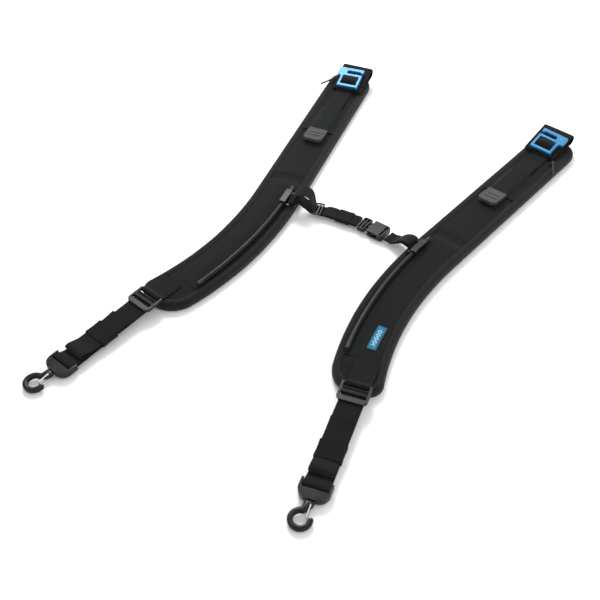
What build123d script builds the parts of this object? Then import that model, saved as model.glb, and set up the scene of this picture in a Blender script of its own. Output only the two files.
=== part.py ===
"""Padded shoulder harness with two straps and a sternum strap, for carrying a saxophone. Millimetres.

The harness lies open on a flat surface. +Z is up, +Y runs to the shoulder hooks and +X to the
wearer's right-hand strap. Both straps are one design, mirrored about X = 0; the snap hooks are not.
"""
from build123d import *
from math import asin, cos, degrees, radians, sin, sqrt
import os

os.makedirs("parts", exist_ok=True)

# Course of each pad's centreline, seen from above, on the right-hand side
WAIST_X = 112.0  # nearest the middle
WAIST_Y = -31.0
UPPER_RADIUS = 560.0
LOWER_RADIUS = 450.0
LEAN = 9.5  # of the straight upper stretch, degrees
PAD_ABOVE = 415.0  # pad length above the waist, along the centreline
PAD_BELOW = 172.0  # and below it

# Pad
PAD_WIDTH = 65.0
PAD_THICK = 15.0
CLOTH = 1.2
BINDING_WIDTH = 9.5
TOP_CORNER = 22.0
LOW_INNER_CORNER = 38.0
LOW_OUTER_CORNER = 19.0

# Webbing
WEB = 1.6
LIFTER_WIDTH = 25.0
LIFTER_OUT = -2.0
LOWER_WIDTH = 30.0
STERNUM_WIDTH = 20.0
LAYER_GAP = 0.5
END_GAP = 1.8  # from a webbing end to the buckle or slide that holds it
CLEAR = 0.3  # between pieces that move past each other

# Cross band and the grip below it
BAND_FROM_TOP = 105.0
BAND_LENGTH = 60.0
BAND_RISE = 6.2
TUNNEL_RISE = 3.8
GRIP_LENGTH = 33.0
GRIP_WIDTH = 28.0
GRIP_THICK = 4.6
GRIP_TILT = 7.0

# Folded loop at the shoulder end and the hook on it
LOOP_WIDTH = 47.0
LOOP_OUT = -5.5
LOOP_LENGTH = 50.0
LOOP_RADIUS = 7.5
LOOP_NIP = 2.2  # its radius where it is sewn down
LOOP_FOOT = 30.0
HOOK_OUT = -5.0
HOOK_SPARE = 1.2  # its window is wider than the webbing in it
HOOK_LENGTH = 40.0
HOOK_FROM_END = 11.0  # the fold that shows past it
HOOK_THICK = 4.0
HOOK_BAR = 4.4
HOOK_SIDE = 3.6
HOOK_WINDOW = 19.0
HOOK_SLOT = 6.0
HOOK_ARM = 6.0
HOOK_CENTRE_BAR = 3.0
HOOK_SHOULDER = 6.3  # the outer corner past the frame
HOOK_SHOULDER_LENGTH = 17.0
HOOK_SCOOP = 4.0  # radius under that corner

# Zip on the outer edge of the pad
ZIP_WIDTH = 3.8
ZIP_LENGTH = 79.0
ZIP_FROM_TOP = 24.0
ZIP_RISE = 1.3
SLIDER_WIDTH = 5.2
SLIDER_LENGTH = 10.0
SLIDER_RISE = 3.0
SLIDER_FROM_TOP = {"right": 57.0, "left": 23.0}
PULL_LENGTH = 32.0
PULL_WIDTH = 2.6
PULL_SWING = 32.0
PULL_THICK = 1.2

# Sternum strap rail, clip and the cloth under them
RAIL_IN = 17.0
RAIL_RADIUS = 2.75
RAIL_HIGH_ANGLE = 10.9
RAIL_FROM_END = 52.0  # its lower end stops this far above the pad's
PANEL_WIDTH = 22.0
PANEL_TAIL = 0.5
RAIL_STEM = 1.2
CLIP_ANGLE = 8.37
CLIP_LENGTH = 27.0
CLIP_FIT = 0.4
CLIP_WALL = 1.9
CLIP_LIPS = 3.0  # narrower mouth than bore, which keeps the clip on the rail
CLIP_BAR = 1.7
CLIP_LUG = 3.0
CLIP_REACH = 8.0  # from the rail to the clip's webbing bar

# Sternum strap
STERNUM_RISE = 16.0
STERNUM_LEVEL = 7.0
BUCKLE_X = 28.0
BUCKLE_SPARE = 4.0  # wider than the webbing
MALE_BASE = 12.0
PRONG_LENGTH = 19.0
PRONG_THICK = 3.0
PRONG_OUT = 7.0
PRONG_HALF = 1.6
GUIDE_WIDTH = 4.6
GUIDE_THICK = 2.0
FEMALE_LENGTH = 24.0
BUCKLE_THICK = 9.2
BUCKLE_PLATE = 2.0
SLOT = 2.5
KEEPER_X = -17.0
KEEPER_LENGTH = 20.0
GLIDE_X = -55.5
GLIDE_LENGTH = 11.0
LOOP_X = -76.0
ARCH_RADIUS = 13.0
ARCH_LEVEL = 25.0

# Lower webbing, its ladder lock and the snap hook
LOWER_LEAN = 10.8
LOWER_SLOPE = 4.2
LADDER_OUT = 2.7
LADDER_FROM_END = 2.8
LADDER_RISE = 4.6  # of its top bar over the pad
LADDER_LENGTH = 27.0
LADDER_SLOT = 4.4
LADDER_WINDOW = 5.0
LADDER_THICK = 4.0
LADDER_BAR = 3.0
LADDER_SIDE = 3.0
ANCHOR_LENGTH = 38.0
TAIL_FOLD = 123.0
TAIL_HEM = 50.0
ELASTIC_LENGTH = 23.0
ELASTIC_AT = {"right": 94.0, "left": 82.0}
SWIVEL_BAR_AT = 141.0
SWIVEL_BAR = 2.1
SWIVEL_ARM = 2.65
SWIVEL_LENGTH = 20.0
SWIVEL_HORN = 6.0  # the arms past the bar
SWIVEL_BELLY = 2.4
SWIVEL_THICK = 8.0
NECK_RADIUS = 3.0
NECK_FIT = 0.08
SNAP_RADIUS = 14.0
SNAP_SECTION = 6.4
SNAP_THICK = 7.0
SNAP_OFFSET = -3.0
SNAP_REACH = 22.6  # from the swivel to the ring's centre
SNAP_SHANK = 10.0
SNAP_TIP_ANGLE = 21.0
SNAP_THROAT_ANGLE = 62.0
GATE_WIRE = 0.8
GATE_FIT = 0.08
GATE_PIVOT = (2.5, 5.6)  # from the neck's end, across and along

LABEL_LENGTH = 40.5
LABEL_WIDTH = 11.6
LABEL_THICK = 0.8
LABEL_STATION = -84.5

# Worked out from the sizes above
HALF = PAD_WIDTH / 2
BAND_HIGH = PAD_ABOVE - BAND_FROM_TOP
BAND_LOW = BAND_HIGH - BAND_LENGTH
HOOK_WIDTH = LIFTER_WIDTH + HOOK_SPARE + 2 * HOOK_SIDE
ZIP_OUT = HALF - BINDING_WIDTH - CLEAR - ZIP_WIDTH / 2
ZIP_HIGH = PAD_ABOVE - ZIP_FROM_TOP
ZIP_LOW = ZIP_HIGH - ZIP_LENGTH
BUCKLE_WIDTH = STERNUM_WIDTH + BUCKLE_SPARE
LADDER_WIDTH = LOWER_WIDTH + 1.0 + 2 * LADDER_SIDE
WINDOW_HALF = LOWER_WIDTH / 2 + 2 * CLEAR
SWIVEL_WIDTH = 2 * (WINDOW_HALF + SWIVEL_ARM)
FACE = PAD_THICK - CLOTH
ARC_END = UPPER_RADIUS * radians(LEAN)
RAIL_CENTRE = (WAIST_X + UPPER_RADIUS, WAIST_Y)
RAIL_COURSE = UPPER_RADIUS + RAIL_IN
RAIL_LOW_ANGLE = -degrees((PAD_BELOW - RAIL_FROM_END) / RAIL_COURSE)
PANEL_TOP = FACE + CLOTH
RAIL_Z = PANEL_TOP + RAIL_STEM + RAIL_RADIUS
BAR_COURSE = RAIL_COURSE + CLIP_REACH
BAR_Z = PAD_THICK + CLIP_BAR + 3 * CLEAR
TONGUE_Z = BAR_Z + CLIP_BAR + CLEAR + 0.4
PIVOT_X = RAIL_CENTRE[0] - BAR_COURSE * cos(radians(CLIP_ANGLE))
PIVOT_Y = RAIL_CENTRE[1] + BAR_COURSE * sin(radians(CLIP_ANGLE))
STERNUM_RADIUS = (PIVOT_X**2 + STERNUM_RISE**2) / (2 * STERNUM_RISE)
STERNUM_CENTRE_Y = PIVOT_Y + STERNUM_RISE - STERNUM_RADIUS
OUT_OF_REACH = 400.0
SIDES = {"right": 1, "left": -1}


def save(piece, name):
    piece.label = name
    export_step(piece, f"parts/{name}.step")


def save_pair(piece, name):
    """The piece as modelled, on the right, and its mirror image on the left."""
    save(piece, f"right_{name}")
    save(mirror(piece, about=Plane.YZ), f"left_{name}")


def heading(station):
    """Lean of the centreline from +Y, in radians, at a distance along it from the waist."""
    if station > 0:
        return min(station / UPPER_RADIUS, radians(LEAN))
    return station / LOWER_RADIUS


def spot(station, out=0.0):
    """A point beside the centreline: how far along from the waist, and how far outward."""
    lean = heading(station)
    radius = UPPER_RADIUS if station > 0 else LOWER_RADIUS
    straight = max(station - ARC_END, 0.0)
    x = WAIST_X + radius * (1 - cos(lean)) + straight * sin(lean) + out * cos(lean)
    y = WAIST_Y + radius * sin(lean) + straight * cos(lean) - out * sin(lean)
    return (x, y)


def pad_plane(station, out=0.0, level=0.0):
    """Flat plane on the pad: x outward, y up the strap, z up."""
    lean = heading(station)
    return Plane(origin=(*spot(station, out), level), x_dir=(cos(lean), -sin(lean), 0), z_dir=(0, 0, 1))


def section_plane(station, out=0.0):
    """Upright plane across the strap: x outward, y up, and its normal down the strap."""
    lean = heading(station)
    return Plane(
        origin=(*spot(station, out), 0), x_dir=(cos(lean), -sin(lean), 0), z_dir=(-sin(lean), -cos(lean), 0)
    )


def side_plane(station, out=0.0):
    """Upright plane along the strap: x up the strap, y up, and its normal outward."""
    lean = heading(station)
    return Plane(
        origin=(*spot(station, out), 0), x_dir=(sin(lean), cos(lean), 0), z_dir=(cos(lean), -sin(lean), 0)
    )


def edge_run(low, high, out):
    """Lines and arcs parallel to the centreline, inside the BuildLine that is open."""
    knots = [low] + [knot for knot in (0.0, ARC_END) if low < knot < high] + [high]
    for start, end in zip(knots, knots[1:]):
        if start >= ARC_END:
            Line(spot(start, out), spot(end, out))
        else:
            ThreePointArc(spot(start, out), spot((start + end) / 2, out), spot(end, out))


def corner(end, radius, out, way):
    """Rounded corner from the long edge at an offset to the end of the pad; way is +1 at the top."""
    start = end - way * radius
    lean = heading(start)
    inner = out - radius if out > 0 else out + radius
    TangentArc(spot(start, out), spot(end, inner), tangent=(way * sin(lean), way * cos(lean)))


def pad_outline(inset):
    """The pad seen from above, smaller all round by an inset."""
    half = HALF - inset
    low = -PAD_BELOW + inset
    high = PAD_ABOVE - inset
    top = TOP_CORNER - inset
    inner = LOW_INNER_CORNER - inset
    outer = LOW_OUTER_CORNER - inset
    with BuildSketch() as outline:
        with BuildLine():
            edge_run(low + outer, high - top, half)
            edge_run(low + inner, high - top, -half)
            Line(spot(low, inner - half), spot(low, half - outer))
            Line(spot(high, top - half), spot(high, half - top))
            corner(high, top, half, 1)
            corner(high, top, -half, 1)
            corner(low, outer, half, -1)
            corner(low, inner, -half, -1)
        make_face()
    return outline.sketch


def rail_plane(angle):
    """Upright plane across the rail: x from the rail's centre of curvature, y up."""
    turn = radians(angle)
    return Plane(
        origin=(*RAIL_CENTRE, 0), x_dir=(-cos(turn), sin(turn), 0), z_dir=(sin(turn), cos(turn), 0)
    )


RAIL_AXIS = Axis((*RAIL_CENTRE, 0), (0, 0, 1))


def sternum_plane(x, level):
    """Plane on the sternum strap: x along it to the right, y across, z up."""
    turn = asin(x / STERNUM_RADIUS)
    y = STERNUM_CENTRE_Y + STERNUM_RADIUS * cos(turn)
    return Plane(origin=(x, y, level), x_dir=(cos(turn), -sin(turn), 0), z_dir=(0, 0, 1))


def sternum_strip(width, start, end):
    """The sternum strap seen from above, between two values of x."""
    with BuildSketch() as strip:
        with Locations((0, STERNUM_CENTRE_Y)):
            Circle(STERNUM_RADIUS + width / 2)
            Circle(STERNUM_RADIUS - width / 2, mode=Mode.SUBTRACT)
        with Locations(((start + end) / 2, PIVOT_Y)):
            Rectangle(end - start, OUT_OF_REACH / 4, mode=Mode.INTERSECT)
    return strip.sketch


def layer(points, thick=WEB):
    """Side view of a webbing layer whose underside runs through the points."""
    upper = [(x, z + thick) for x, z in reversed(points)]
    with BuildSketch(Plane.XZ) as band:
        with BuildLine():
            Polyline(*points, *upper, close=True)
        make_face()
    return band.sketch


def lower_plane(sign, along=0.0, lift=0.0):
    """Plane of the lower webbing: x to the right, y back up it, at a distance down from the ladder bar."""
    lean = radians(LOWER_LEAN)
    slope = radians(LOWER_SLOPE)
    down = Vector(sign * sin(lean) * cos(slope), -cos(lean) * cos(slope), -sin(slope))
    across = Vector(cos(lean), sign * sin(lean), 0)
    normal = across.cross(-down)
    x, y = spot(LADDER_FROM_END - PAD_BELOW, LADDER_OUT)
    origin = Vector(sign * x, y, PAD_THICK + LADDER_RISE) + down * along + normal * lift
    return Plane(origin=origin, x_dir=across, z_dir=normal)


# ---------------------------------------------------------------- pad
with BuildPart() as pad_binding:
    with BuildSketch():
        add(pad_outline(0.0))
    extrude(amount=PAD_THICK)
    with BuildSketch():
        add(pad_outline(BINDING_WIDTH))
    extrude(amount=PAD_THICK, mode=Mode.SUBTRACT)
    with BuildSketch(Plane.XY.offset(CLOTH)):
        add(pad_outline(CLOTH))
    extrude(amount=PAD_THICK - 2 * CLOTH, mode=Mode.SUBTRACT)
save_pair(pad_binding.part, "pad_binding")

with BuildPart() as pad_mesh:
    with BuildSketch():
        add(pad_outline(BINDING_WIDTH))
    extrude(amount=CLOTH)
save_pair(pad_mesh.part, "pad_mesh")

with BuildPart() as pad_foam:
    with BuildSketch(Plane.XY.offset(CLOTH)):
        add(pad_outline(CLOTH))
    extrude(amount=PAD_THICK - 3 * CLOTH)
save_pair(pad_foam.part, "pad_foam")

with BuildPart() as pad_face:
    with BuildSketch(Plane.XY.offset(FACE - CLOTH)):
        add(pad_outline(CLOTH))
    extrude(amount=CLOTH)
save_pair(pad_face.part, "pad_face")

# ---------------------------------------------------------------- cross band and lifter
BAND_HALF = HALF - BINDING_WIDTH - CLEAR
TUNNEL_HALF = LIFTER_WIDTH / 2 + 2 * CLEAR
with BuildPart() as cross_band:
    with BuildSketch(section_plane(BAND_HIGH)):
        with BuildLine():
            Polyline(
                (-BAND_HALF, FACE),
                (LIFTER_OUT - TUNNEL_HALF - WEB, FACE + BAND_RISE),
                (LIFTER_OUT + TUNNEL_HALF + WEB, FACE + BAND_RISE),
                (BAND_HALF, FACE),
                close=True,
            )
        make_face()
        with Locations((LIFTER_OUT, FACE + TUNNEL_RISE / 2)):
            Rectangle(2 * TUNNEL_HALF, TUNNEL_RISE, mode=Mode.SUBTRACT)
    extrude(amount=BAND_HIGH - BAND_LOW)
save_pair(cross_band.part, "cross_band")

LIFTER_LEVEL = PAD_THICK + CLEAR
HOOK_FLEX = PAD_ABOVE - LOOP_LENGTH - 4.0
with BuildPart() as lifter_webbing:
    with BuildSketch(pad_plane(BAND_LOW, LIFTER_OUT, LIFTER_LEVEL)):
        Rectangle(LIFTER_WIDTH, HOOK_FLEX - BAND_LOW, align=(Align.CENTER, Align.MIN))
    extrude(amount=WEB)
save_pair(lifter_webbing.part, "lifter_webbing")

grip_plane = pad_plane(BAND_LOW - 2 * CLEAR, LIFTER_OUT, LIFTER_LEVEL).rotated((-GRIP_TILT, 0, 0))
with BuildPart() as grip:
    with BuildSketch(grip_plane) as grip_shape:
        Rectangle(GRIP_WIDTH, GRIP_LENGTH, align=(Align.CENTER, Align.MAX))
        chamfer(grip_shape.vertices().group_by(Axis.Y)[0], GRIP_WIDTH / 6)
    extrude(amount=GRIP_THICK)
    with BuildSketch(grip_plane.offset(GRIP_THICK)):
        with Locations((0, -GRIP_LENGTH * 0.35), (0, -GRIP_LENGTH * 0.6)):
            Rectangle(GRIP_WIDTH * 0.7, 2 * WEB)
    extrude(amount=WEB / 2)
save_pair(grip.part, "grip")

# ---------------------------------------------------------------- folded loop and shoulder hook
LOOP_UNDER = PAD_THICK + CLEAR / 2
LOOP_SLOPE = 2 * degrees(asin((LOOP_RADIUS - LOOP_NIP) / LOOP_LENGTH))
with BuildPart() as top_loop:
    with BuildSketch(side_plane(PAD_ABOVE, LOOP_OUT)):
        for shrink, mode in ((0.0, Mode.ADD), (WEB, Mode.SUBTRACT)):
            with BuildSketch(mode=Mode.PRIVATE) as fold:
                with Locations((0, LOOP_UNDER + LOOP_RADIUS)):
                    Circle(LOOP_RADIUS - shrink)
                with Locations((-LOOP_LENGTH, LOOP_UNDER + LOOP_NIP)):
                    Circle(LOOP_NIP - shrink)
                make_hull()
            add(fold.sketch, mode=mode)
    extrude(amount=LOOP_WIDTH / 2, both=True)
    with BuildSketch(side_plane(PAD_ABOVE, LOOP_OUT)):
        with Locations((-LOOP_LENGTH, FACE)):
            Rectangle(LOOP_LENGTH / 4, LOOP_UNDER + WEB / 2 - FACE, align=(Align.MIN, Align.MIN))
    extrude(amount=LOOP_FOOT / 2, both=True)
save_pair(top_loop.part, "top_loop")

HOOK_LIFT = WEB + 3 * CLEAR  # of the hook's underside over the loop
HOOK_BACK = HOOK_LENGTH / 2 + HOOK_FROM_END
HOOK_APEX = LOOP_LENGTH + LOOP_NIP / sin(radians(LOOP_SLOPE / 2)) * cos(radians(LOOP_SLOPE / 2))
hook_level = LOOP_UNDER + (HOOK_APEX - HOOK_BACK) * sin(radians(LOOP_SLOPE)) / cos(radians(LOOP_SLOPE))
hook_plane = pad_plane(PAD_ABOVE - HOOK_BACK, HOOK_OUT, hook_level).rotated((LOOP_SLOPE, 0, 0))
hook_plane = hook_plane.offset(HOOK_LIFT)
WINDOW_LOW = HOOK_BAR - HOOK_LENGTH / 2
WINDOW_HIGH = WINDOW_LOW + HOOK_WINDOW
SLOT_LOW = HOOK_LENGTH / 2 - HOOK_ARM - HOOK_SLOT
CENTRE_BAR_AT = WINDOW_LOW + HOOK_WINDOW * 0.55
with BuildPart() as g_hook:
    with BuildSketch(hook_plane) as hook_shape:
        Rectangle(HOOK_WIDTH, HOOK_LENGTH)
        with Locations((HOOK_WIDTH / 2, HOOK_LENGTH / 2)):
            Rectangle(HOOK_SHOULDER, HOOK_SHOULDER_LENGTH, align=(Align.MIN, Align.MAX))
        scoop = (HOOK_WIDTH / 2, HOOK_LENGTH / 2 - HOOK_SHOULDER_LENGTH)
        hook_corners = hook_shape.vertices().sort_by_distance(scoop)
        fillet(hook_corners[0], HOOK_SCOOP)
        fillet(hook_shape.vertices().filter_by(lambda v: abs(v.X) > abs(scoop[0]) + HOOK_SCOOP), HOOK_BAR / 2)
        with Locations((0, (WINDOW_LOW + WINDOW_HIGH) / 2)):
            Rectangle(HOOK_WIDTH - 2 * HOOK_SIDE, HOOK_WINDOW, mode=Mode.SUBTRACT)
        with Locations((0, CENTRE_BAR_AT)):
            Rectangle(HOOK_WIDTH - HOOK_SIDE, HOOK_CENTRE_BAR)
        with Locations((-HOOK_WIDTH, SLOT_LOW)):
            Rectangle(1.25 * HOOK_WIDTH, HOOK_SLOT, align=(Align.MIN, Align.MIN), mode=Mode.SUBTRACT)
        with Locations((-HOOK_WIDTH / 2, SLOT_LOW + HOOK_SLOT)):
            Rectangle(HOOK_BAR, HOOK_SLOT / 3, align=(Align.MIN, Align.MAX))
    extrude(amount=HOOK_THICK)
    hook_up = Axis(hook_plane.origin, hook_plane.z_dir)
    chamfer(g_hook.faces().sort_by(hook_up)[-1].outer_wire().edges(), HOOK_THICK / 6)
save_pair(g_hook.part, "g_hook")

hook_side = Plane(origin=hook_plane.origin, x_dir=hook_plane.y_dir, z_dir=hook_plane.x_dir)
WRAP_GAP = CLEAR / 3
with BuildPart() as hook_webbing:
    with BuildSketch(hook_side):
        with BuildLine():
            Polyline(
                (-HOOK_LENGTH / 2 - WEB, -WEB - WRAP_GAP),
                (WINDOW_LOW + WRAP_GAP + WEB, -WEB - WRAP_GAP),
                (WINDOW_LOW + WRAP_GAP + WEB, HOOK_THICK + WRAP_GAP),
                (CENTRE_BAR_AT + HOOK_CENTRE_BAR, HOOK_THICK + WRAP_GAP),
                (CENTRE_BAR_AT + HOOK_CENTRE_BAR, HOOK_THICK + WRAP_GAP + WEB),
                (WINDOW_LOW + WRAP_GAP, HOOK_THICK + WRAP_GAP + WEB),
                (WINDOW_LOW + WRAP_GAP, -WRAP_GAP),
                (-HOOK_LENGTH / 2 - WEB, -WRAP_GAP),
                close=True,
            )
        make_face()
    extrude(amount=LIFTER_WIDTH / 2, both=True)
save_pair(hook_webbing.part, "hook_webbing")

# ---------------------------------------------------------------- zip
with BuildPart() as zip_chain:
    with BuildSketch(pad_plane(ZIP_LOW, ZIP_OUT, FACE)):
        Rectangle(ZIP_WIDTH, ZIP_HIGH - ZIP_LOW, align=(Align.CENTER, Align.MIN))
    extrude(amount=ZIP_RISE)
save_pair(zip_chain.part, "zip_chain")

SLIDER_LEVEL = PAD_THICK + CLEAR
for side, sign in SIDES.items():
    station = PAD_ABOVE - SLIDER_FROM_TOP[side]
    with BuildPart() as zip_slider:
        with BuildSketch(pad_plane(station, ZIP_OUT, SLIDER_LEVEL)) as slider_shape:
            Rectangle(SLIDER_WIDTH, SLIDER_LENGTH)
            chamfer(slider_shape.vertices(), SLIDER_WIDTH / 5)
        extrude(amount=SLIDER_RISE - WEB)
        with BuildSketch(pad_plane(station, ZIP_OUT, SLIDER_LEVEL)):
            Rectangle(SLIDER_WIDTH / 3, SLIDER_LENGTH * 0.7)
        extrude(amount=SLIDER_RISE)
    pull_plane = pad_plane(station, ZIP_OUT, SLIDER_LEVEL + SLIDER_RISE + CLEAR).rotated((0, 0, PULL_SWING))
    with BuildPart() as zip_pull:
        with BuildSketch(pull_plane) as pull_shape:
            Rectangle(PULL_WIDTH, PULL_LENGTH, align=(Align.CENTER, Align.MAX))
            fillet(pull_shape.vertices(), PULL_WIDTH / 3)
        extrude(amount=PULL_THICK)
    for piece, name in ((zip_slider.part, "zip_slider"), (zip_pull.part, "zip_pull")):
        save(piece if sign > 0 else mirror(piece, about=Plane.YZ), f"{side}_{name}")

# ---------------------------------------------------------------- sternum rail
SWEEP = RAIL_HIGH_ANGLE - RAIL_LOW_ANGLE
with BuildPart() as rail:
    with BuildSketch(rail_plane(RAIL_HIGH_ANGLE)):
        with Locations((RAIL_COURSE, RAIL_Z)):
            Circle(RAIL_RADIUS)
        with Locations((RAIL_COURSE, PANEL_TOP)):
            Rectangle(RAIL_STEM, RAIL_Z - PANEL_TOP, align=(Align.CENTER, Align.MIN))
    revolve(axis=RAIL_AXIS, revolution_arc=SWEEP)
save_pair(rail.part, "rail")

with BuildPart() as rail_panel:
    with BuildSketch(rail_plane(RAIL_HIGH_ANGLE)):
        with Locations((RAIL_COURSE + RAIL_RADIUS, FACE)):
            Rectangle(PANEL_WIDTH, CLOTH, align=(Align.MAX, Align.MIN))
    revolve(axis=RAIL_AXIS, revolution_arc=SWEEP + PANEL_TAIL)
save_pair(rail_panel.part, "rail_panel")

CLIP_SWEEP = degrees(CLIP_LENGTH / RAIL_COURSE)
CLIP_TOP = RAIL_Z + RAIL_RADIUS + CLIP_FIT + CLIP_WALL
CLIP_FOOT = PANEL_TOP + CLEAR + 0.1
CLIP_BORE = RAIL_RADIUS + CLIP_FIT
clip_start = CLIP_ANGLE + CLIP_SWEEP / 2
with BuildPart() as rail_clip:
    with BuildSketch(rail_plane(clip_start)):
        with Locations((RAIL_COURSE, CLIP_FOOT)):
            Rectangle(2 * CLIP_BORE + CLIP_WALL, CLIP_TOP - CLIP_FOOT, align=(Align.CENTER, Align.MIN))
        with Locations((RAIL_COURSE, RAIL_Z)):
            Circle(CLIP_BORE, mode=Mode.SUBTRACT)
        with Locations((RAIL_COURSE, (RAIL_Z + CLIP_FOOT) / 2)):
            Rectangle(2 * CLIP_BORE - CLIP_LIPS, RAIL_Z - CLIP_FOOT, mode=Mode.SUBTRACT)
    revolve(axis=RAIL_AXIS, revolution_arc=CLIP_SWEEP)
    with BuildSketch(rail_plane(clip_start)):
        with Locations((BAR_COURSE, BAR_Z)):
            Circle(CLIP_BAR)
    revolve(axis=RAIL_AXIS, revolution_arc=CLIP_SWEEP)
    lug_sweep = degrees(CLIP_LUG / RAIL_COURSE)
    for lug_start in (clip_start, clip_start - CLIP_SWEEP + lug_sweep):
        with BuildSketch(rail_plane(lug_start)):
            with Locations((RAIL_COURSE + CLIP_BORE, BAR_Z)):
                Rectangle(CLIP_REACH + CLIP_BAR - CLIP_BORE, 2 * CLIP_BAR, align=(Align.MIN, Align.CENTER))
        revolve(axis=RAIL_AXIS, revolution_arc=lug_sweep)
save_pair(rail_clip.part, "rail_clip")

label_plane = pad_plane(LABEL_STATION, LABEL_WIDTH / 2 + 2.6, FACE)
with BuildPart() as woven_label:
    with BuildSketch(label_plane.rotated((0, 0, -4.0))):
        Rectangle(LABEL_WIDTH, LABEL_LENGTH)
    extrude(amount=LABEL_THICK)
save(woven_label.part, "woven_label")

# ---------------------------------------------------------------- sternum strap
STRAP_TOP = STERNUM_LEVEL + WEB
SECOND = STRAP_TOP + LAYER_GAP
male_start = BUCKLE_X - PRONG_LENGTH / 2 - MALE_BASE
female_end = BUCKLE_X + PRONG_LENGTH / 2 - 2 + MALE_BASE
level_out = PIVOT_X - CLIP_BAR - STERNUM_WIDTH / 2
level_in = level_out - 18.0
glide_end = GLIDE_X + GLIDE_LENGTH / 2 + 2 * END_GAP
with BuildPart() as strap_left:
    with BuildSketch():
        add(sternum_strip(STERNUM_WIDTH, -PIVOT_X, male_start - END_GAP))
    extrude(amount=OUT_OF_REACH)
    with BuildSketch(Plane.XZ):
        add(
            layer(
                [
                    (-OUT_OF_REACH, TONGUE_Z),
                    (-level_out, TONGUE_Z),
                    (-level_in, STERNUM_LEVEL),
                    (OUT_OF_REACH, STERNUM_LEVEL),
                ]
            )
        )
        add(layer([(glide_end, SECOND), (male_start - END_GAP, SECOND)]))
        add(layer([(glide_end, STERNUM_LEVEL), (glide_end + WEB, STERNUM_LEVEL)], WEB + 2 * LAYER_GAP))
    extrude(amount=OUT_OF_REACH, both=True, mode=Mode.INTERSECT)
save(strap_left.part, "strap_left")

with BuildPart() as strap_right:
    with BuildSketch():
        add(sternum_strip(STERNUM_WIDTH, female_end + END_GAP, PIVOT_X))
    extrude(amount=OUT_OF_REACH)
    with BuildSketch(Plane.XZ):
        add(
            layer(
                [
                    (-OUT_OF_REACH, STERNUM_LEVEL),
                    (level_in, STERNUM_LEVEL),
                    (level_out, TONGUE_Z),
                    (OUT_OF_REACH, TONGUE_Z),
                ]
            )
        )
    extrude(amount=OUT_OF_REACH, both=True, mode=Mode.INTERSECT)
save(strap_right.part, "strap_right")

with BuildPart() as tail_loop:
    with BuildSketch():
        add(sternum_strip(STERNUM_WIDTH, LOOP_X - ARCH_RADIUS - 1, LOOP_X + ARCH_RADIUS + 1))
    extrude(amount=OUT_OF_REACH)
    with BuildSketch(Plane.XZ):
        with Locations((LOOP_X, ARCH_LEVEL)):
            Circle(ARCH_RADIUS)
            Rectangle(2 * ARCH_RADIUS, ARCH_RADIUS, align=(Align.CENTER, Align.MAX), mode=Mode.SUBTRACT)
        with Locations((LOOP_X - ARCH_RADIUS, ARCH_LEVEL)):
            Rectangle(WEB, ARCH_LEVEL - TONGUE_Z - WEB - CLEAR, align=(Align.MIN, Align.MAX))
        with Locations((LOOP_X + ARCH_RADIUS, ARCH_LEVEL)):
            Rectangle(WEB, ARCH_LEVEL - SECOND - 2 * WEB, align=(Align.MAX, Align.MAX))
        with Locations((LOOP_X, ARCH_LEVEL)):
            Circle(ARCH_RADIUS - WEB, mode=Mode.SUBTRACT)
    extrude(amount=OUT_OF_REACH, both=True, mode=Mode.INTERSECT)
save(tail_loop.part, "tail_loop")

with BuildPart() as tri_glide:
    with BuildSketch(sternum_plane(GLIDE_X, SECOND)):
        Rectangle(GLIDE_LENGTH, BUCKLE_WIDTH)
        with Locations((-SLOT, 0), (SLOT, 0)):
            Rectangle(SLOT, STERNUM_WIDTH + 1, mode=Mode.SUBTRACT)
    extrude(amount=SLOT)
save(tri_glide.part, "tri_glide")

keeper_plane = sternum_plane(KEEPER_X, STERNUM_LEVEL)
ring_height = 2 * WEB + LAYER_GAP + 4 * CLEAR
with BuildPart() as sternum_keeper:
    with BuildSketch(keeper_plane.offset(-2 * CLEAR - CLOTH)):
        Rectangle(KEEPER_LENGTH, STERNUM_WIDTH + 6 * CLEAR + 2 * CLOTH)
    extrude(amount=ring_height + 2 * CLOTH)
    with BuildSketch(keeper_plane.offset(-2 * CLEAR)):
        Rectangle(KEEPER_LENGTH, STERNUM_WIDTH + 6 * CLEAR)
    extrude(amount=ring_height, mode=Mode.SUBTRACT)
save(sternum_keeper.part, "sternum_keeper")

# ---------------------------------------------------------------- side-release buckle
buckle_plane = sternum_plane(BUCKLE_X, STERNUM_LEVEL + WEB / 2)
BASE_END = -PRONG_LENGTH / 2
with BuildPart() as male_buckle:
    with BuildSketch(buckle_plane.offset(-BUCKLE_THICK * 0.36)) as male_shape:
        with Locations((BASE_END, 0)):
            Rectangle(MALE_BASE, BUCKLE_WIDTH, align=(Align.MAX, Align.CENTER))
        chamfer(male_shape.vertices().group_by(Axis.X)[0], SLOT)
        with Locations((BASE_END - MALE_BASE * 0.28, 0), (BASE_END - MALE_BASE * 0.68, 0)):
            Rectangle(SLOT, STERNUM_WIDTH + 0.5, mode=Mode.SUBTRACT)
    extrude(amount=BUCKLE_THICK * 0.72)
    with BuildSketch(buckle_plane.offset(-GUIDE_THICK / 2)):
        with Locations((BASE_END, 0)):
            Rectangle(PRONG_LENGTH * 0.85, GUIDE_WIDTH, align=(Align.MIN, Align.CENTER))
    extrude(amount=GUIDE_THICK)
save(male_buckle.part, "male_buckle")

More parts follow.
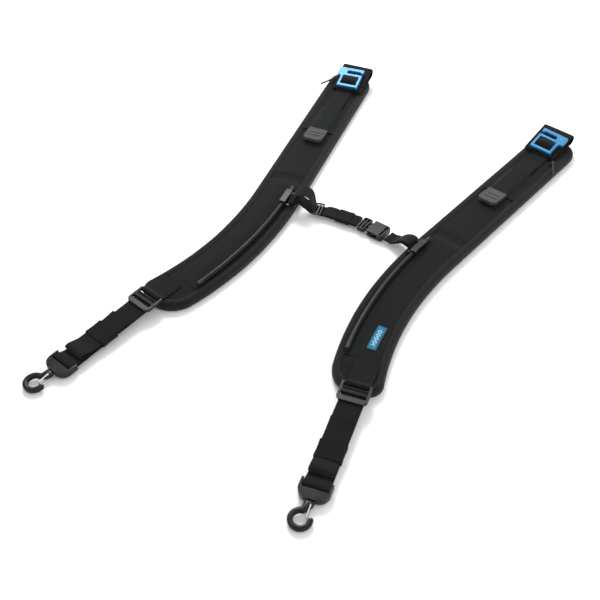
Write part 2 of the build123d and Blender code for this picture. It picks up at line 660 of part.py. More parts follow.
for name, turn in (("front_prong", -1), ("back_prong", 1)):
    with BuildPart() as prong:
        with BuildSketch(buckle_plane.offset(-PRONG_THICK / 2)):
            with BuildLine():
                Polyline(
                    (BASE_END + CLEAR, turn * (PRONG_OUT - PRONG_HALF)),
                    (-BASE_END, turn * (PRONG_OUT - PRONG_HALF)),
                    (-BASE_END, turn * (PRONG_OUT + PRONG_HALF)),
                    (1.5, turn * BUCKLE_WIDTH / 2),
                    (0, turn * BUCKLE_WIDTH / 2),
                    (0, turn * (PRONG_OUT + PRONG_HALF - 0.2)),
                    (BASE_END + CLEAR, turn * (PRONG_OUT + PRONG_HALF)),
                    close=True,
                )
            make_face()
        extrude(amount=PRONG_THICK)
    save(prong.part, name)

FEMALE_MOUTH = BASE_END + 5.0
FEMALE_BLOCK = -BASE_END + 1.0
FEMALE_BACK = FEMALE_BLOCK + MALE_BASE - 3.0
with BuildPart() as female_buckle:
    with BuildSketch(buckle_plane.offset(-BUCKLE_THICK / 2)) as female_shape:
        with Locations((FEMALE_MOUTH, 0)):
            Rectangle(FEMALE_BACK - FEMALE_MOUTH, BUCKLE_WIDTH, align=(Align.MIN, Align.CENTER))
        fillet(female_shape.vertices().group_by(Axis.X)[-1], SLOT)
    extrude(amount=BUCKLE_THICK)
    with BuildSketch(buckle_plane.offset(BUCKLE_PLATE - BUCKLE_THICK / 2)):
        with Locations((FEMALE_MOUTH, 0)):
            Rectangle(FEMALE_BLOCK - FEMALE_MOUTH, BUCKLE_WIDTH + 2, align=(Align.MIN, Align.CENTER))
    extrude(amount=BUCKLE_THICK - 2 * BUCKLE_PLATE, mode=Mode.SUBTRACT)
    with BuildSketch(buckle_plane.offset(-BUCKLE_THICK / 2)):
        with Locations((FEMALE_BACK - SLOT * 1.6, 0)):
            Rectangle(SLOT, STERNUM_WIDTH + 0.5, mode=Mode.ADD)
    extrude(amount=BUCKLE_THICK, mode=Mode.SUBTRACT)
save(female_buckle.part, "female_buckle")

# ---------------------------------------------------------------- lower webbing and snap hooks
ladder_bar = lower_plane(1)
anchor_plane = Plane(
    origin=(ladder_bar.origin.X, ladder_bar.origin.Y, PAD_THICK), x_dir=ladder_bar.x_dir, z_dir=(0, 0, 1)
)
with BuildPart() as anchor_webbing:
    with BuildSketch(anchor_plane):
        with Locations((0, ANCHOR_LENGTH)):
            Rectangle(LOWER_WIDTH, ANCHOR_LENGTH / 2, align=(Align.CENTER, Align.MAX))
    extrude(amount=-CLOTH)
    with BuildSketch(Plane.XY.offset(FACE)):
        add(pad_outline(BINDING_WIDTH))
    extrude(amount=CLOTH, mode=Mode.INTERSECT)
    with BuildSketch(anchor_plane):
        Rectangle(LOWER_WIDTH, ANCHOR_LENGTH, align=(Align.CENTER, Align.MIN))
    extrude(amount=WEB)
save_pair(anchor_webbing.part, "anchor_webbing")

SNAP_AT = SWIVEL_BAR_AT + SWIVEL_LENGTH - 1.0
RUN_UNDER = -SWIVEL_BAR - CLEAR - WEB
TAIL_UNDER = RUN_UNDER + WEB + LAYER_GAP
for side, sign in SIDES.items():
    along = lower_plane(sign)
    beside = Plane(origin=along.origin, x_dir=-along.y_dir, z_dir=-along.x_dir)

    ladder_top = LADDER_BAR / 2
    ladder_inside = LADDER_WIDTH - 2 * LADDER_SIDE
    with BuildPart() as ladder_lock:
        with BuildSketch(along.offset(-LADDER_THICK / 2)) as ladder_shape:
            with Locations((0, ladder_top)):
                Rectangle(LADDER_WIDTH, LADDER_LENGTH, align=(Align.CENTER, Align.MAX))
            chamfer(ladder_shape.vertices().group_by(Axis.Y)[0], LADDER_THICK)
            with Locations((0, ladder_top - LADDER_BAR)):
                Rectangle(ladder_inside, LADDER_SLOT, align=(Align.CENTER, Align.MAX), mode=Mode.SUBTRACT)
            with Locations((0, ladder_top - LADDER_LENGTH * 0.56)):
                Rectangle(ladder_inside, LADDER_WINDOW, align=(Align.CENTER, Align.MAX), mode=Mode.SUBTRACT)
        extrude(amount=LADDER_THICK)
        with BuildSketch(along.offset(LADDER_THICK / 2)):
            with Locations((0, ladder_top - LADDER_LENGTH * 0.34), (0, ladder_top - LADDER_LENGTH * 0.48)):
                Rectangle(ladder_inside, WEB)
        extrude(amount=WEB / 2)
    save(ladder_lock.part, f"{side}_ladder_lock")

    with BuildPart() as lower_webbing:
        with BuildSketch(beside):
            with Locations((LADDER_LENGTH / 2, RUN_UNDER)):
                Rectangle(SWIVEL_BAR_AT - LADDER_LENGTH / 2, WEB, align=(Align.MIN, Align.MIN))
            with Locations((SWIVEL_BAR_AT, 0)):
                Circle(-RUN_UNDER)
                Circle(SWIVEL_BAR + CLEAR, mode=Mode.SUBTRACT)
        extrude(amount=LOWER_WIDTH / 2, both=True)
    save(lower_webbing.part, f"{side}_lower_webbing")

    with BuildPart() as tail:
        tail_middle = TAIL_UNDER + WEB + LAYER_GAP / 2
        with BuildSketch(beside):
            with Locations((LADDER_LENGTH, TAIL_UNDER)):
                Rectangle(TAIL_FOLD - LADDER_LENGTH, 2 * WEB + LAYER_GAP, align=(Align.MIN, Align.MIN))
            with Locations((TAIL_FOLD, tail_middle)):
                Circle(WEB + LAYER_GAP / 2)
            for reach, height in ((TAIL_FOLD, LAYER_GAP), (TAIL_HEM, WEB + 2 * LAYER_GAP)):
                with Locations(((LADDER_LENGTH + reach) / 2, TAIL_UNDER + WEB + height / 2)):
                    Rectangle(reach - LADDER_LENGTH, height, mode=Mode.SUBTRACT)
        extrude(amount=LOWER_WIDTH / 2, both=True)
    save(tail.part, f"{side}_webbing_tail")

    stack = 3 * WEB + 2 * LAYER_GAP + 2 * CLEAR
    with BuildPart() as keeper:
        around = lower_plane(sign, ELASTIC_AT[side], RUN_UNDER - CLEAR)
        with BuildSketch(around.offset(-CLOTH)):
            Rectangle(LOWER_WIDTH + 3 * CLEAR + 2 * CLOTH, ELASTIC_LENGTH)
        extrude(amount=stack + 2 * CLOTH)
        with BuildSketch(around):
            Rectangle(LOWER_WIDTH + 3 * CLEAR, ELASTIC_LENGTH)
        extrude(amount=stack, mode=Mode.SUBTRACT)
    save(keeper.part, f"{side}_elastic_keeper")

    with BuildPart() as swivel_body:
        with BuildSketch(along.offset(-SWIVEL_THICK / 2)):
            with BuildLine():
                half = SWIVEL_WIDTH / 2
                top = -SWIVEL_BAR_AT + SWIVEL_HORN
                waist = -SWIVEL_BAR_AT - SWIVEL_LENGTH * 0.3
                end = 1.0 - SNAP_AT
                belly = (waist + end) / 2 - SWIVEL_BELLY
                Polyline((-half, waist), (-half, top), (half, top), (half, waist))
                Line((-2 * NECK_RADIUS, end), (2 * NECK_RADIUS, end))
                for edge in (-half, half):
                    neck = edge / half * 2 * NECK_RADIUS
                    ThreePointArc((edge, waist), (edge * 0.78, belly), (neck, end))
            make_face()
            with Locations((0, top)):
                Rectangle(
                    2 * WINDOW_HALF,
                    SWIVEL_HORN - RUN_UNDER + 4 * CLEAR,
                    align=(Align.CENTER, Align.MAX),
                    mode=Mode.SUBTRACT,
                )
        extrude(amount=SWIVEL_THICK)
        with BuildSketch(Plane(origin=lower_plane(sign, SWIVEL_BAR_AT).origin, z_dir=along.x_dir)):
            Circle(SWIVEL_BAR)
        extrude(amount=SWIVEL_WIDTH / 2, both=True)
        with BuildSketch(Plane(origin=lower_plane(sign, SNAP_AT - 1.0).origin, z_dir=along.y_dir)):
            Circle(NECK_RADIUS + NECK_FIT)
        extrude(amount=NECK_RADIUS + 1, mode=Mode.SUBTRACT)
    save(swivel_body.part, f"{side}_swivel_body")

    ring_centre = (SNAP_OFFSET, -SNAP_AT - SNAP_REACH)
    pivot = (GATE_PIVOT[0], -SNAP_AT - GATE_PIVOT[1])
    with BuildPart() as snap_hook:
        with BuildSketch(along.offset(-SNAP_THICK / 2)):
            with Locations(ring_centre):
                Circle(SNAP_RADIUS)
                Circle(SNAP_RADIUS - SNAP_SECTION, mode=Mode.SUBTRACT)
            with BuildLine():
                reach = 2 * SNAP_RADIUS
                tip = radians(SNAP_TIP_ANGLE)
                throat = radians(SNAP_THROAT_ANGLE)
                Polyline(
                    ring_centre,
                    (ring_centre[0] + reach * cos(tip), ring_centre[1] + reach * sin(tip)),
                    (ring_centre[0] + reach * cos(throat), ring_centre[1] + reach * sin(throat)),
                    close=True,
                )
            make_face(mode=Mode.SUBTRACT)
            with Locations((SNAP_OFFSET / 4, -SNAP_AT - CLEAR)):
                Rectangle(4 * NECK_RADIUS, SNAP_SHANK, align=(Align.CENTER, Align.MAX))
            with Locations(pivot):
                Circle(GATE_WIRE + GATE_FIT, mode=Mode.SUBTRACT)
        extrude(amount=SNAP_THICK)
        with BuildSketch(Plane(origin=lower_plane(sign, SNAP_AT + 1.0).origin, z_dir=along.y_dir)):
            Circle(NECK_RADIUS)
        extrude(amount=NECK_RADIUS + 2)
    save(snap_hook.part, f"{side}_snap_hook")

    nose = radians(SNAP_TIP_ANGLE)
    inside = SNAP_RADIUS - SNAP_SECTION - CLEAR - GATE_WIRE
    rest = (ring_centre[0] + inside * cos(nose), ring_centre[1] + inside * sin(nose))
    leg_out = SNAP_THICK / 2 + CLEAR + GATE_WIRE
    with BuildPart() as gate:
        for x, y in (pivot, rest):
            with BuildSketch(along.offset(-leg_out)):
                with Locations((x, y)):
                    Circle(GATE_WIRE)
            extrude(amount=2 * leg_out)
        for lift in (-leg_out, leg_out):
            leg_plane = along.offset(lift)
            start = leg_plane.from_local_coords(Vector(*pivot, 0))
            stop = leg_plane.from_local_coords(Vector(*rest, 0))
            with BuildSketch(Plane(origin=start, z_dir=stop - start)):
                Circle(GATE_WIRE)
            extrude(amount=(stop - start).length)
            with Locations(start, stop):
                Sphere(GATE_WIRE)
    save(gate.part, f"{side}_gate")
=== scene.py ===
"""Looks of the padded shoulder harness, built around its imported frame.

Shapes are worked out in millimetres and add_piece turns them into metres, in the frame's axes. The
right-hand strap is the design, and the left-hand one is its mirror image about X = 0.
"""
from math import asin, cos, pi, radians, sin, tan

import bmesh
import bpy
import numpy as np
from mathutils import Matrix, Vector, noise
from mathutils.bvhtree import BVHTree


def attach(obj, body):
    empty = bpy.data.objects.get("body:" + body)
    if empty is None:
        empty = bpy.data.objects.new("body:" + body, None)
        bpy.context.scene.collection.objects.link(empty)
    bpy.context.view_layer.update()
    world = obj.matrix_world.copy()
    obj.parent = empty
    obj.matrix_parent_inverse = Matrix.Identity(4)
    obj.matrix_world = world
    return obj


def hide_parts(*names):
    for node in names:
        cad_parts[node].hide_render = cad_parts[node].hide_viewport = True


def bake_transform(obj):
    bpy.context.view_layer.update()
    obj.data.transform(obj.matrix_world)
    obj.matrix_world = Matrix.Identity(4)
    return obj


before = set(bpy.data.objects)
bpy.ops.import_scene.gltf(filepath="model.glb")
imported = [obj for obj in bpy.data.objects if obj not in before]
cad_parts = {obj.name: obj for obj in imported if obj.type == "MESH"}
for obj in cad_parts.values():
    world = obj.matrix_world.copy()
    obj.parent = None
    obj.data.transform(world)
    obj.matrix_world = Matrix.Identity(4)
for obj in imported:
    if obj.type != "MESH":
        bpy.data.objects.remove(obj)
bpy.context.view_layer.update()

MM = 0.001
SIDES = {"right": 1, "left": -1}

# Course of the pad's centreline
WAIST_X, WAIST_Y = 112.0, -31.0
UPPER_RADIUS, LOWER_RADIUS = 560.0, 450.0
LEAN = radians(9.5)
ARC_END = UPPER_RADIUS * LEAN
PAD_HIGH, PAD_LOW = 415.0, -172.0
HALF = 32.5
TOP_CORNER, LOW_INNER_CORNER, LOW_OUTER_CORNER = 22.0, 38.0, 19.0
BINDING = 9.5
PAD_THICK = 15.0
CLOTH = 1.1

# Webbing
WEB = 1.6
LIFTER_WIDTH, LIFTER_OUT = 25.0, -2.0
LOWER_WIDTH = 30.0
STERNUM_WIDTH = 20.0
BAND_LOW, BAND_HIGH = 250.0, 310.0
CHANNEL_AT, CHANNEL_HALF = 129.0, 4.5

# Folded loop and shoulder hook
LOOP_WIDTH, LOOP_OUT = 47.0, -5.5
LOOP_RADIUS, LOOP_NIP, LOOP_LENGTH, LOOP_UNDER = 7.5, 2.2, 50.0, 15.15
HOOK_FLEX = 361.0
HOOK_OUT, HOOK_BACK, HOOK_LIFT = -5.0, 31.0, 2.5

# Zip
ZIP_OUT, ZIP_LOW, ZIP_HIGH = 20.8, 312.0, 391.0
TOOTH_PITCH = 0.9
SEAM_LIFT = (0, 0, 0.03)  # of a sewn line over its cloth

# Rail
RAIL_X, RAIL_Y, RAIL_COURSE = 672.0, -31.0, 577.0
RAIL_HIGH_ANGLE, RAIL_LOW_ANGLE = 10.9, -11.9
PANEL_IN, PANEL_OUT = -19.25, 2.75  # edges of the panel from the rail, toward and away from its centre

# Sternum strap
PIVOT_X = 93.2
PIVOT_Y = 54.2
STERNUM_RISE = 16.0
STERNUM_RADIUS = (PIVOT_X**2 + STERNUM_RISE**2) / (2 * STERNUM_RISE)
STERNUM_CENTRE_Y = PIVOT_Y + STERNUM_RISE - STERNUM_RADIUS

# Lower webbing
LOWER_LEAN, LOWER_SLOPE = radians(10.8), radians(4.2)
LADDER = Vector((145.95, -195.25, 19.6))
SWIVEL_AT, SWIVEL_REACH = 141.0, 3.2
ELASTIC_AT = {"right": 94.0, "left": 82.0}
RING_CENTRE = (-3.0, -182.6)

LABEL_AT, LABEL_LENGTH, LABEL_WIDTH, LABEL_REPEAT = -84.5, 40.5, 11.6, 6.2
FLOOR_REACH = 6.0


# ------------------------------------------------------------------ places
def pad_point(station, out, z):
    """Point on the right-hand pad: along its centreline, out from it, and up."""
    station, out, z = np.broadcast_arrays(*(np.asarray(a, float) for a in (station, out, z)))
    lean = np.where(station > 0, np.minimum(station / UPPER_RADIUS, LEAN), station / LOWER_RADIUS)
    radius = np.where(station > 0, UPPER_RADIUS, LOWER_RADIUS)
    straight = np.maximum(station - ARC_END, 0.0)
    x = WAIST_X + radius * (1 - np.cos(lean)) + straight * np.sin(lean) + out * np.cos(lean)
    y = WAIST_Y + radius * np.sin(lean) + straight * np.cos(lean) - out * np.sin(lean)
    return np.stack([x, y, z], -1)


def rail_point(angle, radius, z):
    """Point about the rail's centre of curvature, at an angle in degrees and a radius."""
    angle, radius, z = np.broadcast_arrays(*(np.asarray(a, float) for a in (angle, radius, z)))
    turn = np.radians(angle)
    return np.stack([RAIL_X - radius * np.cos(turn), RAIL_Y + radius * np.sin(turn), z], -1)


def sternum_point(x, across, z):
    """Point on the sternum strap's arc."""
    x, across, z = np.broadcast_arrays(*(np.asarray(a, float) for a in (x, across, z)))
    turn = np.arcsin(x / STERNUM_RADIUS)
    reach = STERNUM_RADIUS + across
    return np.stack([reach * np.sin(turn), STERNUM_CENTRE_Y + reach * np.cos(turn), z], -1)


def lower_frame(sign):
    """Origin, across, down and normal of the lower webbing's plane."""
    level = cos(LOWER_SLOPE)
    down = Vector((sign * sin(LOWER_LEAN) * level, -cos(LOWER_LEAN) * level, -sin(LOWER_SLOPE)))
    across = Vector((cos(LOWER_LEAN), sign * sin(LOWER_LEAN), 0))
    origin = Vector((sign * LADDER.x, LADDER.y, LADDER.z))
    return [np.array(v) for v in (origin, across, down, across.cross(-down))]


def lower_point(along, across, lift, sign=1):
    origin, side, down, normal = lower_frame(sign)
    along, across, lift = np.broadcast_arrays(*(np.asarray(a, float) for a in (along, across, lift)))
    return origin + along[..., None] * down + across[..., None] * side + lift[..., None] * normal


def hook_point(along, across, lift):
    """Point in the shoulder hook's plane, which lies on the slope of the folded loop."""
    slope = 2 * asin((LOOP_RADIUS - LOOP_NIP) / LOOP_LENGTH)
    apex = LOOP_LENGTH + LOOP_NIP / tan(slope / 2)
    level = LOOP_UNDER + (apex - HOOK_BACK) * tan(slope)
    along, across, lift = np.broadcast_arrays(*(np.asarray(a, float) for a in (along, across, lift)))
    lift = lift + HOOK_LIFT
    station = PAD_HIGH - HOOK_BACK + along * cos(slope) - lift * sin(slope)
    return pad_point(station, HOOK_OUT + across, level + along * sin(slope) + lift * cos(slope))


def edge_distance(station, out):
    """How far in from the pad's edge, seen from above."""
    middle, reach = (PAD_HIGH + PAD_LOW) / 2, (PAD_HIGH - PAD_LOW) / 2
    low_corner = np.where(out > 0, LOW_OUTER_CORNER, LOW_INNER_CORNER)
    radius = np.where(station > middle, TOP_CORNER, low_corner)
    p = np.abs(station - middle) - reach + radius
    q = np.abs(out) - HALF + radius
    return radius - np.hypot(np.maximum(p, 0), np.maximum(q, 0)) - np.minimum(np.maximum(p, q), 0)


def half_widths(station, inset):
    """Inward and outward reach of the pad from its centreline, less an inset."""
    widths = []
    for low_corner in (LOW_INNER_CORNER, LOW_OUTER_CORNER):
        width = np.full_like(station, HALF - inset)
        for corner, past in (
            (TOP_CORNER, station - (PAD_HIGH - TOP_CORNER)),
            (low_corner, PAD_LOW + low_corner - station),
        ):
            radius = corner - inset
            bent = HALF - corner + np.sqrt(np.maximum(radius**2 - np.maximum(past, 0) ** 2, 0))
            width = np.minimum(width, bent)
        widths.append(width)
    return widths


def rim(inset, step=3.0):
    """Evenly matched points round the pad at an inset: an array of station and out."""
    corners = [
        (PAD_HIGH, HALF, TOP_CORNER, 0),
        (PAD_LOW, HALF, LOW_OUTER_CORNER, 90),
        (PAD_LOW, -HALF, LOW_INNER_CORNER, 180),
        (PAD_HIGH, -HALF, TOP_CORNER, 270),
    ]
    points = []
    for k, (end, side, corner, first) in enumerate(corners):
        centre = (end - np.sign(end) * corner, side - np.sign(side) * corner)
        turn = np.radians(np.linspace(first, first + 90, max(6, round(corner * pi / 2 / step)) + 1))
        radius = corner - inset
        arc = np.stack([centre[0] + radius * np.cos(turn), centre[1] + radius * np.sin(turn)], 1)
        points.append(arc)
        after = corners[(k + 1) % 4]
        start = np.radians(after[3])
        centre = (after[0] - np.sign(after[0]) * after[2], after[1] - np.sign(after[1]) * after[2])
        radius = after[2] - inset
        goal = np.array([centre[0] + radius * cos(start), centre[1] + radius * sin(start)])
        gap = np.linalg.norm(np.subtract(centre, (end, side)))
        count = max(2, round(gap / step))
        share = np.linspace(0, 1, count + 1)[1:-1, None]
        points.append(arc[-1] * (1 - share) + goal * share)
    return np.concatenate(points)


def rounded(corners, radius, step=2.0, closed=False):
    """Evenly spaced path along straight runs, with its corners rounded off."""
    p = np.array(corners, float)
    count = len(p)
    path = [] if closed else [p[0]]
    for k in range(count) if closed else range(1, count - 1):
        before, after = p[k - 1] - p[k], p[(k + 1) % count] - p[k]
        start = p[k] + before * min(radius / np.linalg.norm(before), 0.5)
        end = p[k] + after * min(radius / np.linalg.norm(after), 0.5)
        for t in np.linspace(0, 1, 9):
            path.append((1 - t) ** 2 * start + 2 * t * (1 - t) * p[k] + t**2 * end)
    path.append(path[0] if closed else p[-1])
    return evenly(np.array(path), step)


def evenly(path, step):
    gaps = np.linalg.norm(np.diff(path, axis=0), axis=1)
    reach = np.concatenate([[0], np.cumsum(gaps)])
    at = np.linspace(0, reach[-1], max(2, round(reach[-1] / step)) + 1)
    return np.stack([np.interp(at, reach, path[:, k]) for k in range(path.shape[1])], 1)


def unit(v):
    return v / np.maximum(np.linalg.norm(v, axis=-1, keepdims=True), 1e-9)


def wander(points, size, reach):
    """Smooth unevenness at each point, from -size to size, with lumps of a given reach."""
    lumps = [size * noise.noise(Vector(p) / reach) for p in points.reshape(-1, 3)]
    return np.array(lumps).reshape(points.shape[:-1])


# ------------------------------------------------------------------ meshes
def add_piece(name, verts, faces, material, body, uv=None, stands_for=(), side="right", sharp=50):
    """New piece from points in millimetres.

    body is a CAD body to attach the piece to. Given two bodies and the points between them instead, the
    piece is left unattached where it is; nothing bends it.
    """
    verts = np.asarray(verts, float) * MM
    if side == "left":
        verts = verts * (-1, 1, 1)
    mesh = bpy.data.meshes.new(name)
    mesh.from_pydata(verts.tolist(), [], faces)
    if uv is not None:
        layer = mesh.uv_layers.new(name="weave")
        corner = np.empty(len(mesh.loops), int)
        mesh.loops.foreach_get("vertex_index", corner)
        layer.data.foreach_set("uv", (np.asarray(uv, float) * MM)[corner].astype(np.float32).ravel())
    shape = bmesh.new()
    shape.from_mesh(mesh)
    bmesh.ops.recalc_face_normals(shape, faces=shape.faces)
    shape.to_mesh(mesh)
    shape.free()
    mesh.shade_smooth()
    mesh.set_sharp_from_angle(angle=radians(sharp))
    piece = bpy.data.objects.new(name, mesh)
    bpy.context.scene.collection.objects.link(piece)
    mesh.materials.append(material)
    place_piece(piece, body, stands_for)
    return piece


def place_piece(piece, body, stands_for=()):
    if isinstance(body, str):
        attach(piece, body)
    elif body:
        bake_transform(piece)
    if stands_for:
        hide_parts(*stands_for)


def loft(rings, closed=False):
    """Faces between rings of points, capped at both ends unless the rings close on themselves."""
    rows, count = len(rings), len(rings[0])
    faces = []
    for r in range(rows if closed else rows - 1):
        a, b = r * count, (r + 1) % rows * count
        for k in range(count):
            n = (k + 1) % count
            faces.append((a + k, a + n, b + n, b + k))
    if not closed:
        for base in (0, (rows - 1) * count):
            half = count // 2
            for k in range(half - 1):  # the section's upper side to its lower side
                faces.append((base + k, base + k + 1, base + count - 2 - k, base + count - 1 - k))
    return faces


def slab(top, under):
    """Closed sheet between two grids of points of one shape: its points and faces."""
    rings = np.concatenate([top, under[:, ::-1]], 1)
    return rings.reshape(-1, 3), loft(rings)


def slab_uv(across, along):
    """Thread coordinates for a slab's upper and under sides."""
    flat = np.stack(np.broadcast_arrays(across, along), -1)
    return np.concatenate([flat, flat[:, ::-1]], 1).reshape(-1, 2)


def stood(base, z):
    """The same places seen from above, at other heights."""
    return np.stack([base[..., 0], base[..., 1], z], -1)


def facing_up(line):
    """A line to be sewn, with normals that point straight up."""
    return line, np.tile((0.0, 0.0, 1.0), (len(line), 1))


def ribbon(path, place, width, thick=WEB, columns=10, arch=0.0, lumps=0.12, closed=False):
    """A strap along a path of (along, height), laid out by a place function: its frames and its skin."""
    path = np.asarray(path, float)
    if closed:
        path = path[:-1]
    centre = place(path[:, 0], 0.0, path[:, 1])
    across = unit(place(path[:, 0], 1.0, path[:, 1]) - centre)
    if closed:
        tangent = unit(np.roll(centre, -1, 0) - np.roll(centre, 1, 0))
    else:
        tangent = unit(np.gradient(centre, axis=0))
    normal = unit(np.cross(across, tangent))
    share = np.cos(np.linspace(pi, 0, columns)) * 0.35 + np.linspace(-1, 1, columns) * 0.65
    width = np.broadcast_to(np.asarray(width, float), (len(path),))[:, None]
    v = share[None, :] * width / 2
    half = thick / 2 * np.sqrt(np.clip(1 - 0.85 * np.abs(share) ** 10, 0.1, 1))[None, :]
    middle = centre[:, None] + across[:, None] * v[..., None]
    lift = np.broadcast_to(np.asarray(arch, float), (len(path),))[:, None] * (1 - share[None, :] ** 2)
    lift = lift + wander(middle, lumps, 14.0)
    top = middle + normal[:, None] * (lift + half)[..., None]
    under = middle + normal[:, None] * (lift - half)[..., None]
    rings = np.concatenate([top, under[:, ::-1]], 1)
    gaps = np.linalg.norm(np.diff(centre, axis=0), axis=1)
    reach = np.concatenate([[0], np.cumsum(gaps)])
    flat = np.stack(np.broadcast_arrays(v, reach[:, None]), -1)
    uv = np.concatenate([flat, flat[:, ::-1]], 1)
    return {
        "verts": rings.reshape(-1, 3),
        "faces": loft(rings, closed),
        "uv": uv.reshape(-1, 2),
        "top": top,
        "normal": normal,
        "reach": reach,
        "across": v,
    }


def add_strap(name, strap, body, stands_for=None, side="right"):
    taken = (stands_for,) if stands_for else ()
    add_piece(name, strap["verts"], strap["faces"], WEBBING, body, strap["uv"], taken, side)


def on_strap(strap, corners, step=0.5):
    """Points and normals of a line sewn on a strap's upper face, given as (along, across) corners."""
    line = evenly(np.array(corners, float), step)
    reach, top = strap["reach"], strap["top"]
    row = np.interp(line[:, 0], reach, np.arange(len(reach)))
    low = np.clip(row.astype(int), 0, len(reach) - 2)
    part = (row - low)[:, None]
    ends = []
    for r in (low, low + 1):
        pairs = zip(r, line[:, 1])
        column = np.array([np.interp(x, strap["across"][k], np.arange(top.shape[1])) for k, x in pairs])
        left = np.clip(column.astype(int), 0, top.shape[1] - 2)
        share = (column - left)[:, None]
        ends.append(top[r, left] * (1 - share) + top[r, left + 1] * share)
    points = ends[0] * (1 - part) + ends[1] * part
    return points, strap["normal"][low]


def box_stitch(low, high, half):
    """Corners of a sewn box with a cross in it."""
    return [
        [(low, -half), (low, half), (high, half), (high, -half), (low, -half)],
        [(low, -half), (high, half)],
        [(low, half), (high, -half)],
    ]


def add_stitches(name, runs, body, pitch=3.0, length=2.1, radius=0.27, side="right", thread=None):
    """Sewn thread: one small raised capsule for each stitch, all in one piece."""
    stages = np.array([0.0, 0.18, 0.5, 0.82, 1.0])
    girth = np.array([0.25, 0.85, 1.0, 0.85, 0.25]) * radius
    turn = np.linspace(0, 2 * pi, 7)[:-1]
    verts, faces = [], []
    for points, normals in runs:
        gaps = np.linalg.norm(np.diff(points, axis=0), axis=1)
        reach = np.concatenate([[0], np.cumsum(gaps)])
        count = int(reach[-1] // pitch)
        if count < 1:
            continue
        spare = (reach[-1] - count * pitch + pitch - length) / 2
        for k in range(count):
            at = spare + k * pitch + stages * length
            centre = np.stack([np.interp(at, reach, points[:, i]) for i in range(3)], 1)
            up = normals[min(int(np.searchsorted(reach, at[2])), len(normals) - 1)]
            ahead = unit(centre[-1] - centre[0])
            beside = unit(np.cross(up, ahead))
            centre = centre + up * (0.05 + 0.2 * np.sin(pi * stages))[:, None] * radius / 0.27
            rings = (
                centre[:, None]
                + np.cos(turn)[None, :, None] * girth[:, None, None] * beside
                + np.sin(turn)[None, :, None] * girth[:, None, None] * up
            )
            base = len(stages) * len(turn) * len(verts)
            verts.append(rings.reshape(-1, 3))
            faces += [tuple(base + i for i in face) for face in STITCH_FACES]
    add_piece(name, np.concatenate(verts), faces, thread or THREAD, body, side=side, sharp=80)


def capsule_faces(rings, count):
    faces = []
    for r in range(rings - 1):
        for k in range(count):
            n = (k + 1) % count
            faces.append((r * count + k, r * count + n, (r + 1) * count + n, (r + 1) * count + k))
    faces.append(tuple(range(count))[::-1])
    faces.append(tuple((rings - 1) * count + k for k in range(count)))
    return faces


STITCH_FACES = capsule_faces(5, 6)


# ------------------------------------------------------------------ materials
class Nodes:
    """Short way to write a material's node tree."""

    def __init__(self, name, **sockets):
        self.material = bpy.data.materials.new(name)
        self.material.use_nodes = True
        self.tree = self.material.node_tree
        self.shader = next(n for n in self.tree.nodes if n.type == "BSDF_PRINCIPLED")
        for socket, value in sockets.items():
            self.shader.inputs[socket.replace("_", " ")].default_value = value

    def node(self, kind, *links, **values):
        made = self.tree.nodes.new(kind)
        for key, value in values.items():
            setattr(made, key, value)
        for slot, link in enumerate(links):
            self.join(link, made.inputs[slot])
        return made

    def join(self, link, socket):
        if link is None:
            return
        if isinstance(link, (int, float, tuple)):
            socket.default_value = link
        else:
            self.tree.links.new(link, socket)

    def math(self, operation, a, b=None):
        return self.node("ShaderNodeMath", a, b, operation=operation).outputs[0]

    def wave(self, value, period, shift=0.0):
        """Sine wave of a length in metres, from 0 to 1."""
        angle = self.math("MULTIPLY_ADD", value, 2 * pi / period)
        self.join(shift, angle.node.inputs[2])
        return self.math("MULTIPLY_ADD", self.math("SINE", angle), 0.5)

    def noise(self, scale, detail=3.0, vector=None):
        made = self.node("ShaderNodeTexNoise", vector)
        made.inputs["Scale"].default_value = scale
        made.inputs["Detail"].default_value = detail
        return made.outputs["Fac"]

    def ramp(self, value, low, high, start=0.0, end=1.0):
        made = self.node("ShaderNodeMapRange", value)
        for slot, number in ((1, start), (2, end), (3, low), (4, high)):
            made.inputs[slot].default_value = number
        return made.outputs[0]

    def blend(self, share, first, second):
        made = self.node("ShaderNodeMix", data_type="RGBA")
        self.join(share, made.inputs["Factor"])
        colours = [s for s in made.inputs if s.type == "RGBA"]
        self.join(first, colours[0])
        self.join(second, colours[1])
        return next(s for s in made.outputs if s.type == "RGBA")

    def finish(self, colour, roughness, height, depth, strength=0.6):
        self.join(colour, self.shader.inputs["Base Color"])
        self.join(roughness, self.shader.inputs["Roughness"])
        bump = self.node("ShaderNodeBump")
        bump.inputs["Strength"].default_value = strength
        bump.inputs["Distance"].default_value = depth
        self.join(height, bump.inputs["Height"])
        self.join(bump.outputs[0], self.shader.inputs["Normal"])
        return self.material


def fabric(name, dark, light, weave, depth=0.00025, sheen=0.25, wear=0.5, rough=0.86):
    """Woven or knitted cloth. weave(nodes, u, v) gives its relief from the thread coordinates in metres."""
    n = Nodes(name, Sheen_Weight=sheen, Sheen_Roughness=0.45, Specular_IOR_Level=0.08)
    n.shader.inputs["Sheen Tint"].default_value = (0.9, 0.92, 1.0, 1)
    uv = n.node("ShaderNodeUVMap", uv_map="weave").outputs[0]
    split = n.node("ShaderNodeSeparateXYZ", uv)
    relief = weave(n, split.outputs[0], split.outputs[1])
    place = n.node("ShaderNodeTexCoord").outputs["Object"]
    patches = n.noise(38.0, 4.0, place)
    fluff = n.noise(2600.0, 2.0, place)
    shade = n.math("MULTIPLY", relief, n.ramp(patches, 0.55, 1.15, 0.3, 0.7))
    shade = n.math("ADD", shade, n.math("MULTIPLY", n.ramp(fluff, 0.0, wear, 0.55, 0.8), 0.6))
    colour = n.blend(shade, (*dark, 1), (*light, 1))
    roughness = n.ramp(patches, rough - 0.06, rough + 0.08, 0.3, 0.7)
    height = n.math("ADD", relief, n.math("MULTIPLY", fluff, 0.25))
    return n.finish(colour, roughness, height, depth, 0.8)


